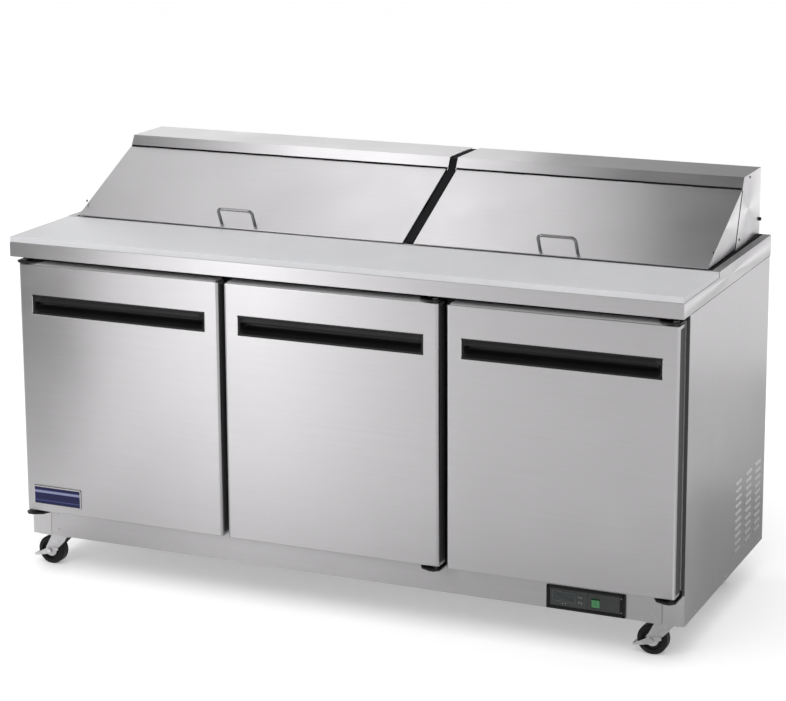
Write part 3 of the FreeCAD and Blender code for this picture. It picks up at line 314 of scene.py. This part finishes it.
HOOD_END = 861.5        # half the width of the hood and lids
SIDE_FACE = 890.5       # outer face of a side panel
SKIRT_RIVETS = 892.3    # 0.2 under the skirt's outer face, so these rivets don't show
BACK_FACE = 374         # outer face of the back panel
KICK_FACE = -315        # front face of the kick panel
DOOR_FACE = -367
DOOR_HALF = 286.5       # half the width of a door
DOOR_TOP = 833
DOORS = (("left", -587, -1), ("middle", 1, 1), ("right", 594.5, 1))  # centre x, hinge side
DOOR_PIVOTS = ((-861.5, -1), (275.5, 1), (869, 1))  # x, hinge side
PIVOT_Y = -354
BRACKET_LOW, BRACKET_HIGH = 168.0, 842.0  # faces that the bracket screws sit on
GAUGE = 1.2             # sheet thickness of the lid skins
HINGE_Y, HINGE_Z = 204.5, 1048.2
KNUCKLE = 58            # least length of a lid hinge knuckle
FORK_LEG = 18.5         # from a wheel's middle to the outside of its fork


# ---------------------------------------------------------------- mesh helpers

def facing(direction, at, up=(0, 0, 1)):
    """Local z along direction and local y as near up as it goes, at a point."""
    z = Vector(direction).normalized()
    x = Vector(up).cross(z)
    x = (x if x.length > 1e-6 else Vector((1, 0, 0))).normalized()
    turn = Matrix((x, z.cross(x), z)).transposed().to_4x4()
    return Matrix.Translation(Vector(at)) @ turn


def piece(name, bm, body, mat, angle=35):
    """Finish a mesh as a smooth piece that rides a body; edges over angle degrees stay sharp."""
    bmesh.ops.remove_doubles(bm, verts=bm.verts, dist=1e-6)
    bmesh.ops.recalc_face_normals(bm, faces=bm.faces)
    for face in bm.faces:
        face.smooth = True
    mesh = bpy.data.meshes.new(name)
    bm.to_mesh(mesh)
    bm.free()
    mesh.set_sharp_from_angle(angle=math.radians(angle))
    mesh.materials.append(MAT[mat])
    obj = bpy.data.objects.new(name, mesh)
    scene.collection.objects.link(obj)
    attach(obj, body)
    return obj


def bridge(bm, rings, closed=False):
    """Quads between rings of vertices, each ring closed on itself."""
    for a, b in zip(rings, rings[1:] + rings[:1] if closed else rings[1:]):
        for i in range(len(a)):
            j = (i + 1) % len(a)
            corners = list(dict.fromkeys((a[i], a[j], b[j], b[i])))
            if len(corners) > 2:
                bm.faces.new(corners)


def cap_ends(bm, rings):
    bm.faces.new(rings[0])
    bm.faces.new(rings[-1])


def in_mm(pairs):
    """Pairs written in millimetres, in metres."""
    return [(a * MM, b * MM) for a, b in pairs]


def lathe(bm, profile, place, steps=28, radius=None):
    """Turn (radius, height) pairs about local z; radius(r, angle) may shape a ring."""
    rings = []
    for r, h in profile:
        if r == 0:
            rings.append([bm.verts.new(place @ Vector((0, 0, h)))] * steps)
            continue
        ring = []
        for k in range(steps):
            a = 2 * math.pi * k / steps
            reach = radius(r, a) if radius else r
            spot = Vector((reach * math.cos(a), reach * math.sin(a), h))
            ring.append(bm.verts.new(place @ spot))
        rings.append(ring)
    bridge(bm, rings)


def cross_reach(reach, a):
    """Outline of a cross recess: full reach on its four arms, a third between them."""
    return reach * (0.34 + 0.66 * max(0.0, abs(math.cos(2 * a)) - 0.55) / 0.45)


def screw(bm, at, direction, r, h):
    """Pan head with a cross recess."""
    place = facing(direction, at)
    lathe(bm, [(r, -0.2 * MM), (r, 0.25 * h), (0.88 * r, 0.7 * h), (0.62 * r, h)], place)
    sunk, steps = 0.35 * h, 28
    rings = []
    for reach, height, crossed in ((0.62 * r, h, False), (0.52 * r, h, True),
                                   (0.46 * r, sunk, True)):
        ring = []
        for k in range(steps):
            a = 2 * math.pi * k / steps
            q = cross_reach(reach, a) if crossed else reach
            ring.append(bm.verts.new(place @ Vector((q * math.cos(a), q * math.sin(a), height))))
        rings.append(ring)
    rings.append([bm.verts.new(place @ Vector((0, 0, sunk)))] * steps)
    bridge(bm, rings)


def rounded(half_x, half_y, radius, steps=6):
    """Points and outward directions round a rectangle with rounded corners."""
    spots = []
    for cx, cy, start in ((1, 1, 0), (-1, 1, 90), (-1, -1, 180), (1, -1, 270)):
        for k in range(steps + 1):
            a = math.radians(start + 90 * k / steps)
            out = Vector((math.cos(a), math.sin(a), 0))
            spots.append((Vector((cx * (half_x - radius), cy * (half_y - radius), 0))
                          + out * radius, out))
    return spots


def rim(bm, half_x, half_y, radius, profile, place):
    """Sweep a closed (outward, up) profile round a rounded rectangle."""
    rings = [[bm.verts.new(place @ (p + out * o + Vector((0, 0, u)))) for o, u in profile]
             for p, out in rounded(half_x, half_y, radius)]
    bridge(bm, rings, closed=True)


def slab(bm, half_x, half_y, radius, layers, place):
    """A rounded plate built up from (inset, height) layers, closed at both ends."""
    rings = []
    for inset, h in layers:
        rings.append([bm.verts.new(place @ (p - out * inset + Vector((0, 0, h))))
                      for p, out in rounded(half_x, half_y, radius)])
    bridge(bm, rings)
    cap_ends(bm, rings)


def middle(node_name):
    """A node's low corner, high corner and centre."""
    low, high = (Vector(v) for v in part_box(node_name))
    return low, high, (low + high) / 2


def strip(bm, points, across, width, thick):
    """A flat strip with bevelled edges along a straight run, wide along across."""
    start, end = (Vector(p) * MM for p in points)
    ahead = (end - start).normalized()
    over = Vector(across).normalized()
    proud = ahead.cross(over)
    shape = [(-0.5, -0.3), (-0.3, -0.5), (0.3, -0.5), (0.5, -0.3), (0.5, 0.3), (0.3, 0.5),
             (-0.3, 0.5), (-0.5, 0.3)]
    rings = [[bm.verts.new(at + over * a * width * MM + proud * b * thick * MM) for a, b in shape]
             for at in (start, end)]
    bridge(bm, rings)
    cap_ends(bm, rings)


# ---------------------------------------------------------------- doors

HANDLE_PROFILE = [  # (height, depth into the door) in mm, from the bottom edge up
    (0, 0.6), (0, -0.9), (0.8, -1.5), (3.0, -1.5), (4.0, -0.6), (4.8, 1.2), (8, 6), (12, 15),
    (16, 23), (21, 27), (29, 27), (31.2, 25), (32.0, 12), (32.4, 4.0), (33.2, 2.0), (34.6, 1.4),
    (38, 2.6), (42, 4.0), (44.2, 4.4), (44.9, 3.6), (45.4, -0.5), (46.2, -1.5), (48.2, -1.5),
    (49, -0.9), (49, 0.6),
]
HANDLE_STATIONS = [  # (distance from an end in mm, share of the full depth there)
    (0, 0), (0.7, 0), (3.2, 0), (4.4, 0.03), (5.4, 0.16), (7.5, 0.42), (10.5, 0.70), (14, 0.88),
    (18, 0.97), (23, 1.0),
]


def door_handle(name):
    """Moulded recessed pull with a sloping lip and rounded inner ends."""
    low, high, _ = middle(f"door_{name}_handle")
    face = low.y + 1.5 * MM
    long = (high.x - low.x) / MM
    stations = HANDLE_STATIONS + [(long * k / 8, 1.0) for k in range(1, 8)]
    stations += [(long - d, k) for d, k in reversed(HANDLE_STATIONS)]
    bm = bmesh.new()
    rows = []
    for d, k in stations:
        edge = min(d, long - d)
        row = []
        for z, y in HANDLE_PROFILE:
            y = y * k if y > 1.0 else y
            if edge == 0:
                y = max(y, -0.9)
            row.append(bm.verts.new((low.x + d * MM, face + y * MM, low.z + z * MM)))
        rows.append(row)
    for a, b in zip(rows, rows[1:]):
        for i in range(len(a) - 1):
            bm.faces.new((a[i], a[i + 1], b[i + 1], b[i]))
    obj = piece(f"handle_{name}", bm, f"door_{name}", "black", 50)
    thick = obj.modifiers.new("wall", "SOLIDIFY")
    thick.thickness, thick.offset = 1.2 * MM, 0
    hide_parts(f"door_{name}_handle")

    bm = bmesh.new()
    half_x, half_z = (high.x - low.x) / 2, (high.z - low.z) / 2
    bead = [(0.2, -0.4), (0.2, 0.5), (0.8, 0.9), (1.5, 0.5), (1.7, -0.4)]
    rim(bm, half_x, half_z, 1.0 * MM, in_mm(bead),
        facing(FRONT, ((low.x + high.x) / 2, DOOR_FACE * MM, (low.z + high.z) / 2)))
    piece(f"handle_{name}_bead", bm, f"door_{name}", "bright")


GASKET_PROFILE = [(-7, 0), (7, 0), (7, 2), (4.6, 3), (6.6, 4.3), (6.6, 5.8), (4.6, 7), (7.2, 8.1),
                  (7.7, 9.4), (6.6, 10.4), (-6.6, 10.4), (-7.7, 9.4), (-7.2, 8.1), (-4.6, 7),
                  (-6.6, 5.8), (-6.6, 4.3), (-4.6, 3), (-7, 2)]


def door_gasket(name):
    """Bellows seal with mitred corners."""
    low, high, centre = middle(f"door_{name}_gasket")
    bm = bmesh.new()
    place = facing(BACK, (centre.x, low.y + 0.1 * MM, centre.z))
    rim(bm, (high.x - low.x) / 2 - 8 * MM, (high.z - low.z) / 2 - 8 * MM, 1 * MM,
        in_mm(GASKET_PROFILE), place)
    obj = piece(f"gasket_{name}", bm, f"door_{name}", "gasket", 30)
    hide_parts(f"door_{name}_gasket")


def door_badge():
    """Steel frame round the badge plate."""
    low, high, centre = middle("door_badge")
    bm = bmesh.new()
    profile = [(0, 0), (0, 2.2), (-0.7, 2.9), (-2.6, 2.9), (-3.4, 2.3), (-3.6, 1.2), (-3.6, 0)]
    rim(bm, (high.x - low.x) / 2, (high.z - low.z) / 2, 3.2 * MM, in_mm(profile),
        facing(FRONT, (centre.x, high.y, centre.z)))
    piece("badge_frame", bm, "door_left", "plain")


# ---------------------------------------------------------------- controls

def controls():
    """Moulded frame, dark display with its rim, unlettered marks, and four small screws."""
    low, high, centre = middle("control_bezel")
    half_x, half_z = (high.x - low.x) / 2, (high.z - low.z) / 2
    bm = bmesh.new()
    profile = [(0, -2), (0, 3.4), (-0.8, 4.2), (-5.6, 4.2), (-6.6, 3.4), (-7.2, 0.2), (-7.2, -2)]
    rim(bm, half_x, half_z, 1.5 * MM, in_mm(profile),
        facing(FRONT, (centre.x, low.y, centre.z)))
    bars = (low.x + 9.5 * MM, high.x - 10.5 * MM)
    for x in bars:
        strip(bm, [(x / MM, low.y / MM - 0.3, z / MM) for z in (low.z + 6 * MM, high.z - 6 * MM)],
              (1, 0, 0), 7.5, 0.8)
    piece("control_frame", bm, "cabinet", "black")

    case_low = middle("temperature_controller")[0]
    front = case_low.y
    at = Vector((case_low.x + 36.5 * MM, front + 0.8 * MM, case_low.z + 25.5 * MM))
    bm = bmesh.new()
    slab(bm, 28.6 * MM, 12.0 * MM, 1.5 * MM,
         in_mm([(0, 0), (0, 0.8), (0.5, 1.1), (2, 1.1)]), facing(FRONT, at))
    piece("display_glass", bm, "cabinet", "glass")
    bm = bmesh.new()
    rim(bm, 29.4 * MM, 12.4 * MM, 1.5 * MM,
        in_mm([(0, 0), (0, 1.3), (-0.5, 1.6), (-1.0, 1.3), (-1.0, 0)]), facing(FRONT, at))
    piece("display_rim", bm, "cabinet", "edge")

    bm = bmesh.new()
    for key, sign in (("key_up", 1), ("key_down", -1)):
        spot = middle(key)[2]
        mark = Vector((spot.x - 6.5 * MM, front - 0.1 * MM, spot.z))
        arrow = [(-1.8, -1.5 * sign), (1.8, -1.5 * sign), (0, 1.7 * sign)]
        rings = [[bm.verts.new(mark + Vector((x * MM, y * MM, z * MM))) for x, z in arrow]
                 for y in (0.15, -0.15)]
        bridge(bm, rings)
        cap_ends(bm, rings)
    for x in (-4, 4):
        slab(bm, 1.1 * MM, 1.1 * MM, 0.9 * MM, in_mm([(0, -0.2), (0, 0.3), (0.4, 0.5)]),
             facing(FRONT, (at.x + x * MM, front, case_low.z + 8 * MM)))
    piece("panel_marks", bm, "cabinet", "print")

    bm = bmesh.new()
    for x in bars:
        for z in (low.z + 11 * MM, high.z - 12 * MM):
            screw(bm, (x, low.y, z), FRONT, 1.7 * MM, 0.9 * MM)
    piece("panel_screws", bm, "cabinet", "bright")


# ---------------------------------------------------------------- small fittings

def screws(name, body, spots, r, h, slot="zinc_steel", mat="bright"):
    """One piece of screws at (point, direction) spots; r and h in mm."""
    bm = bmesh.new()
    for at, direction in spots:
        screw(bm, Vector(at) * MM, direction, r * MM, h * MM)
    piece(name, bm, body, mat)


def bumper(name, body, spots):
    """Black rubber buffers, domed, with a sunk centre."""
    bm = bmesh.new()
    profile = [(7, -0.5), (7, 4.2), (6.2, 6.0), (4.6, 6.8), (3.2, 6.6), (2.6, 5.2), (0, 5.2)]
    for at, direction in spots:
        lathe(bm, in_mm(profile), facing(direction, Vector(at) * MM))
    piece(name, bm, body, "tread")


def fittings():
    """Screws, rivets, hood knobs and rear buffers."""
    # The hood and lid screws are black: painted shade, since these small heads sit in shade.
    shaded_black = {"r": 3.4, "h": 1.5, "slot": "black_steel", "mat": "paint"}
    screws("hood_screws", "cabinet", [((sign * HOOD_END, y, z), way) for sign, way in SIDES
                                      for y, z in ((271, 1067.5), (184.5, 925.6))], **shaded_black)
    screws("lid_left_screws", "lid_left", [((-HOOD_END, -40, 938), LEFT)], **shaded_black)
    screws("lid_right_screws", "lid_right", [((HOOD_END, -40, 938), RIGHT)], **shaded_black)
    knobs = bmesh.new()
    profile = [(4.6, -0.3), (4.6, 4.4), (3.8, 5.6), (2.0, 6.0), (1.6, 5.2), (0, 5.2)]
    for sign, way in SIDES:
        lathe(knobs, in_mm(profile), facing(way, Vector((sign * HOOD_END, 367, 944)) * MM))
    piece("hood_knobs", knobs, "cabinet", "black")
    low_edge = [((sign * SIDE_FACE, y, 106), way) for sign, way in SIDES for y in (-224, 36, 336)]
    screws("side_screws", "cabinet", low_edge, 3.6, 1.5)
    skirt = [((sign * SKIRT_RIVETS, y, 872), way) for sign, way in SIDES for y in (-264, -214)]
    screws("skirt_rivets", "cabinet", skirt, 3.0, 0.12)
    gland = (290, 112)
    back = [((x, BACK_FACE, z), BACK) for x in (-840, -420, 0, 290, 840)
            for z in (112, 480, 838) if (x, z) != gland]
    screws("back_screws", "cabinet", back, 4.2, 1.8)
    bumper("rear_bumpers", "cabinet", [((x, BACK_FACE, z), BACK) for x in (-840, 840)
                                       for z in (1050, 930)])
    kick = [((x, KICK_FACE, z), FRONT) for x in (-815, 815) for z in (112, 158)]
    screws("kick_screws", "cabinet", kick, 3.4, 1.4)


def door_edges(name, x, hinge):
    """Dark strips along the back of a door's side faces, painted shade for the dark gaps between
    the doors, and a pale strip over its top face.
    """
    start, end = -358, -326
    mid = (start + end) / 2
    bm = bmesh.new()
    for side in (x - DOOR_HALF, x + DOOR_HALF):
        strip(bm, ((side, mid, 186), (side, mid, DOOR_TOP - 9)), (0, 1, 0), end - start, 0.9)
    # These dark strips are painted shade in the door gaps.
    piece(f"{name}_edges", bm, name, "gap_shade_finish")
    bm = bmesh.new()
    profile = [(-365, 832.8), (-357, 837.2), (-328.5, 837.2), (-326.5, 835.5), (-326.5, 832.8)]
    rings = [[bm.verts.new(Vector((at, y, z)) * MM) for y, z in profile]
             for at in (x + hinge * (DOOR_HALF - 32), x - hinge * (DOOR_HALF - 9))]
    bridge(bm, rings)
    cap_ends(bm, rings)
    piece(f"{name}_cap", bm, name, "inner")


def stile_strips():
    """Dark strips down the face of the cabinet beside the outer doors: painted shade at the door
    gaps.
    """
    bm = bmesh.new()
    for x in (-885.4, 885.4):
        strip(bm, ((x, -315.1, 172), (x, -315.1, 848)), (1, 0, 0), 8.4, 0.9)
    piece("stile_strips", bm, "cabinet", "gap_shade_finish")


def hinge_shade_strip(bm, x0, x1):
    """Black band on the front and top of one hinge knuckle: painted shade for the dark hinge seam.
    """
    arc = [math.radians(a) for a in range(76, 207, 10)]
    ring = [(2.9, a) for a in arc] + [(2.35, a) for a in reversed(arc)]
    rows = [[bm.verts.new(Vector((x, HINGE_Y + r * math.cos(a), HINGE_Z + r * math.sin(a))) * MM)
             for r, a in ring] for x in (x0, x1)]
    bridge(bm, rows)
    cap_ends(bm, rows)


def paint_seam_shade():
    """Black bands over the lid hinges, and dark beads at the sheet-metal joints and along the
    hood's foot: painted shade in these seams and gaps.
    """
    for side in ("left", "right"):
        low, high, _ = middle(f"lid_{side}_skin")
        x0, x1 = low.x / MM + GAUGE + 2, high.x / MM - GAUGE - 2
        count = int((x1 - x0) / KNUCKLE)
        pitch = (x1 - x0) / count
        # Black bands over alternate knuckles: painted shade along the hinge seam.
        for phase, body, kind in ((0, "cabinet", "hood"), (1, f"lid_{side}", "lid")):
            bm = bmesh.new()
            for i in range(phase, count, 2):
                hinge_shade_strip(bm, x0 + i * pitch + 0.25, x0 + (i + 1) * pitch - 0.25)
            piece(f"hinge_shade_bands_{side}_{kind}", bm, body, "matt")
    bm = bmesh.new()
    # Dark beads at the lid cheeks, the skirt's lower edge and the hood's foot: painted shade in
    # the seams, painted contact shadow at the foot.
    for x in (-861.7, 861.7):
        strip(bm, ((x, 151.8, 907), (x, 206.0, 1045)), (0, 1, 0), 3.6, 0.8)
    for sign in (-1, 1):
        strip(bm, ((sign * 891.4, -314, 850.9), (sign * 891.4, 373, 850.9)), (1, 0, 0), 1.6, 1.4)
        strip(bm, ((sign * 867, -80, 903.9), (sign * 867, 371, 903.9)), (1, 0, 0), 9, 1.8)
    piece("seam_shade_beads", bm, "cabinet", "matt")


def hinge_hardware():
    """Bracket screws beside each pin, and a bright washer under each pin head."""
    washer = [(9.4, -0.1), (9.4, 0.7), (8.9, 1.0), (5.4, 1.0), (5.4, -0.1), (9.4, -0.1)]
    bm = bmesh.new()
    for x, sign in DOOR_PIVOTS:
        for z, way in ((BRACKET_LOW, -1), (BRACKET_HIGH, 1)):
            for screw_x, screw_y in ((x - sign * 22, -338), (x - sign * 6, -330)):
                screw(bm, Vector((screw_x, screw_y, z)) * MM, (0, 0, way), 3.4 * MM, 1.6 * MM)
            lathe(bm, in_mm(washer), facing((0, 0, way), Vector((x, PIVOT_Y, z)) * MM))
    piece("hinge_screws", bm, "cabinet", "bright")


def hexagon(r, a):
    """Six flats on the wide rings of a nut; its thread stays round."""
    if r <= 5 * MM:
        return r
    return r / max(math.cos((a % (math.pi / 3)) - math.pi / 6), 0.5) * 0.9


def casters():
    """Thread guards on each wheel, and a nut at each end of its axle."""
    guard = [(10.4, 0.6), (11.4, 0.9), (12, 0.2), (15.5, -0.6), (16.6, -0.4), (16.6, -1.2),
             (15.2, -1.6), (11.4, -1.0), (10.4, 0.6)]
    nut = [(6.4, 0.0), (6.4, 2.0), (5.8, 2.6), (4.1, 2.6), (3.6, 3.4), (0, 3.4)]
    for corner in ("front_left", "front_right", "rear_left", "rear_right"):
        low, high, centre = middle(f"caster_{corner}_wheel")
        bm = bmesh.new()
        for way, y in ((FRONT, low.y + 1.0 * MM), (BACK, high.y - 1.0 * MM)):
            lathe(bm, in_mm(guard), facing(way, (centre.x, y, centre.z)), 40)
        piece(f"caster_{corner}_guards", bm, f"caster_{corner}_wheel", "zinc")
        bm = bmesh.new()
        proud = 3.5 if corner.startswith("front") else 0.8
        for way, y in ((FRONT, centre.y - FORK_LEG * MM - proud * MM),
                       (BACK, centre.y + FORK_LEG * MM)):
            lathe(bm, in_mm(nut), facing(way, (centre.x, y, centre.z)), 36, hexagon)
        piece(f"caster_{corner}_nuts", bm, f"caster_{corner}_swivel", "bright")


finish_nodes()
for door in ("left", "middle", "right"):
    door_handle(door)
    door_gasket(door)
door_badge()
controls()
fittings()
paint_seam_shade()
for door, centre_x, hinge in DOORS:
    door_edges(f"door_{door}", centre_x, hinge)
stile_strips()
hinge_hardware()
casters()


# ---------------------------------------------------------------- stage, light and camera

def stage():
    """A pale floor that glows a little."""
    bm = bmesh.new()
    bmesh.ops.create_grid(bm, x_segments=8, y_segments=8, size=60)
    mesh = bpy.data.meshes.new("floor")
    bm.to_mesh(mesh)
    bm.free()
    mat, tree, shader = blank("floor", Roughness=0.6, Specular_IOR_Level=0.2,
                              Emission_Color=(1, 1, 1, 1), Emission_Strength=0.24)
    where = node(tree, "ShaderNodeTexCoord").outputs["Object"]
    tree.links.new(blend(tree, noise(tree, where, 1.5, 3), (0.90, 0.90, 0.90, 1),
                         (0.92, 0.92, 0.92, 1)), shader.inputs["Base Color"])
    mesh.materials.append(mat)
    floor = bpy.data.objects.new("floor", mesh)
    scene.collection.objects.link(floor)


def soft_box(name, at, aim, width, height, radiance):
    """A square-edged soft box, unseen by the camera, of a given brightness."""
    light = bpy.data.lights.new(name, "AREA")
    light.shape, light.size, light.size_y = "RECTANGLE", width, height
    light.energy = radiance * math.pi * width * height
    obj = bpy.data.objects.new(name, light)
    scene.collection.objects.link(obj)
    obj.location = at
    obj.rotation_euler = (Vector(aim) - Vector(at)).to_track_quat("-Z", "Y").to_euler()
    obj.visible_camera = False


def towards(start, around, above, distance):
    """A point seen from start at a compass angle from -Y towards -X, and a height angle."""
    a, e = math.radians(around), math.radians(above)
    return Vector(start) + distance * Vector((-math.sin(a) * math.cos(e),
                                              -math.cos(a) * math.cos(e), math.sin(e)))


def flag(name, low, high, radiance):
    """A flat card that only reflections see, upright or level, of a given brightness."""
    (x0, y0, z0), (x1, y1, z1) = low, high
    corners = ([(x0, y0, z0), (x1, y0, z0), (x1, y1, z0), (x0, y1, z0)] if z0 == z1 else
               [(x0, y0, z0), (x1, y1, z0), (x1, y1, z1), (x0, y0, z1)])
    mesh = bpy.data.meshes.new(name)
    mesh.from_pydata(corners, [], [(0, 1, 2, 3)])
    mat = bpy.data.materials.new(name)
    mat.use_nodes = True
    tree = mat.node_tree
    glow = node(tree, "ShaderNodeEmission", {"Strength": radiance})
    tree.links.new(glow.outputs[0], tree.nodes["Material Output"].inputs["Surface"])
    mesh.materials.append(mat)
    obj = bpy.data.objects.new(name, mesh)
    scene.collection.objects.link(obj)
    obj.visible_camera = obj.visible_diffuse = obj.visible_shadow = False
    obj.visible_transmission = obj.visible_volume_scatter = False


def studio():
    """An even pale room, a broad soft sun, soft boxes and flags for the steel to reflect, and
    darker floor cards that paint the floor's shadow into those reflections.
    """
    world = bpy.data.worlds.new("studio")
    scene.world = world
    world.use_nodes = True
    background = world.node_tree.nodes["Background"]
    background.inputs["Color"].default_value = (1, 1, 1, 1)
    background.inputs["Strength"].default_value = 0.45

    sun = bpy.data.lights.new("sun", "SUN")
    sun.energy, sun.angle = 1.5, math.radians(50)
    obj = bpy.data.objects.new("sun", sun)
    scene.collection.objects.link(obj)
    obj.rotation_euler = Vector((-0.15, 0.45, -0.88)).to_track_quat("-Z", "Y").to_euler()
    obj.visible_glossy = False

    lids, doors, lip = (0.05, 0.06, 0.98), (-0.15, -0.37, 0.5), (-0.12, 0.21, 1.06)
    soft_box("over_lids", (-0.72, 1.15, 3.2), lids, 0.75, 1.8, 1.12)
    soft_box("over_left", (-1.6, 1.15, 3.2), lids, 1.0, 1.8, 1.0)
    soft_box("front_left", towards(doors, 28, 18, 4.2), doors, 0.5, 2.6, 5.8)
    soft_box("front_high", towards(lip, 33.6, 42.3, 3.2), lip, 1.15, 0.9, 2.5)
    soft_box("back_left", (-2.6, 4.8, 1.9), (-0.2, 0.3, 1.08), 2.3, 1.6, 1.75)
    soft_box("back_right", (3.2, 4.9, 0.9), (0.87, 0.2, 0.95), 2.2, 1.4, 1.2)
    flag("flag_left", (-1.30, -1.40, 0.0), (-3.2, -1.60, 1.9), 0.12)
    flag("flag_high_left", (-2.10, -1.40, 1.9), (-3.4, -1.40, 3.6), 0.05)
    flag("flag_high_right", (-0.35, -1.40, 1.9), (1.6, -1.40, 5.2), 0.01)
    flag("flag_over_right", (-0.05, 0.2, 3.2), (1.5, 2.4, 3.2), 0.18)
    flag("card_overhead", (-3.5, -2.2, 4.6), (3.5, 0.4, 4.6), 0.75)
    # Darker cards on the floor beside, behind and in front of the table: painted floor shadow,
    # seen only in the steel's reflections.
    flag("painted_floor_shadow_side", (0.9, -0.3, 0.004), (1.9, 1.0, 0.004), 0.38)
    flag("painted_floor_shadow_far", (0.9, 1.0, 0.004), (2.4, 2.3, 0.004), 0.60)
    flag("painted_floor_shadow_front", (-0.9, -0.95, 0.004), (0.95, -0.33, 0.004), 0.5)
    flag("flag_floor_ahead", (-1.6, -5.4, 0.004), (0.6, -3.3, 0.004), 0.28)


def camera():
    """Level enough that the table's uprights stay near vertical, looking down from front right."""
    yaw, pitch, roll = -0.41471, -0.21266, -0.00568
    wide, tall, focal, centre_row = 786, 701, 2413.70, 250  # in picture rows and columns
    sensor = 36
    ahead = Vector((math.sin(yaw) * math.cos(pitch), math.cos(yaw) * math.cos(pitch),
                    math.sin(pitch)))
    right = Vector((math.cos(yaw), -math.sin(yaw), 0))
    up = right.cross(ahead)
    right, up = (right * math.cos(roll) + up * math.sin(roll),
                 up * math.cos(roll) - right * math.sin(roll))
    data = bpy.data.cameras.new("camera")
    data.sensor_width = sensor
    data.lens = focal * sensor / wide
    data.shift_y = (centre_row - tall / 2) / wide
    data.clip_start, data.clip_end = 0.1, 200
    obj = bpy.data.objects.new("camera", data)
    scene.collection.objects.link(obj)
    turn = Matrix((right, up, -ahead)).transposed().to_4x4()
    obj.matrix_world = Matrix.Translation((2.42649, -5.48878, 2.16193)) @ turn
    scene.camera = obj


stage()
studio()
camera()
scene.view_settings.view_transform = "Standard"
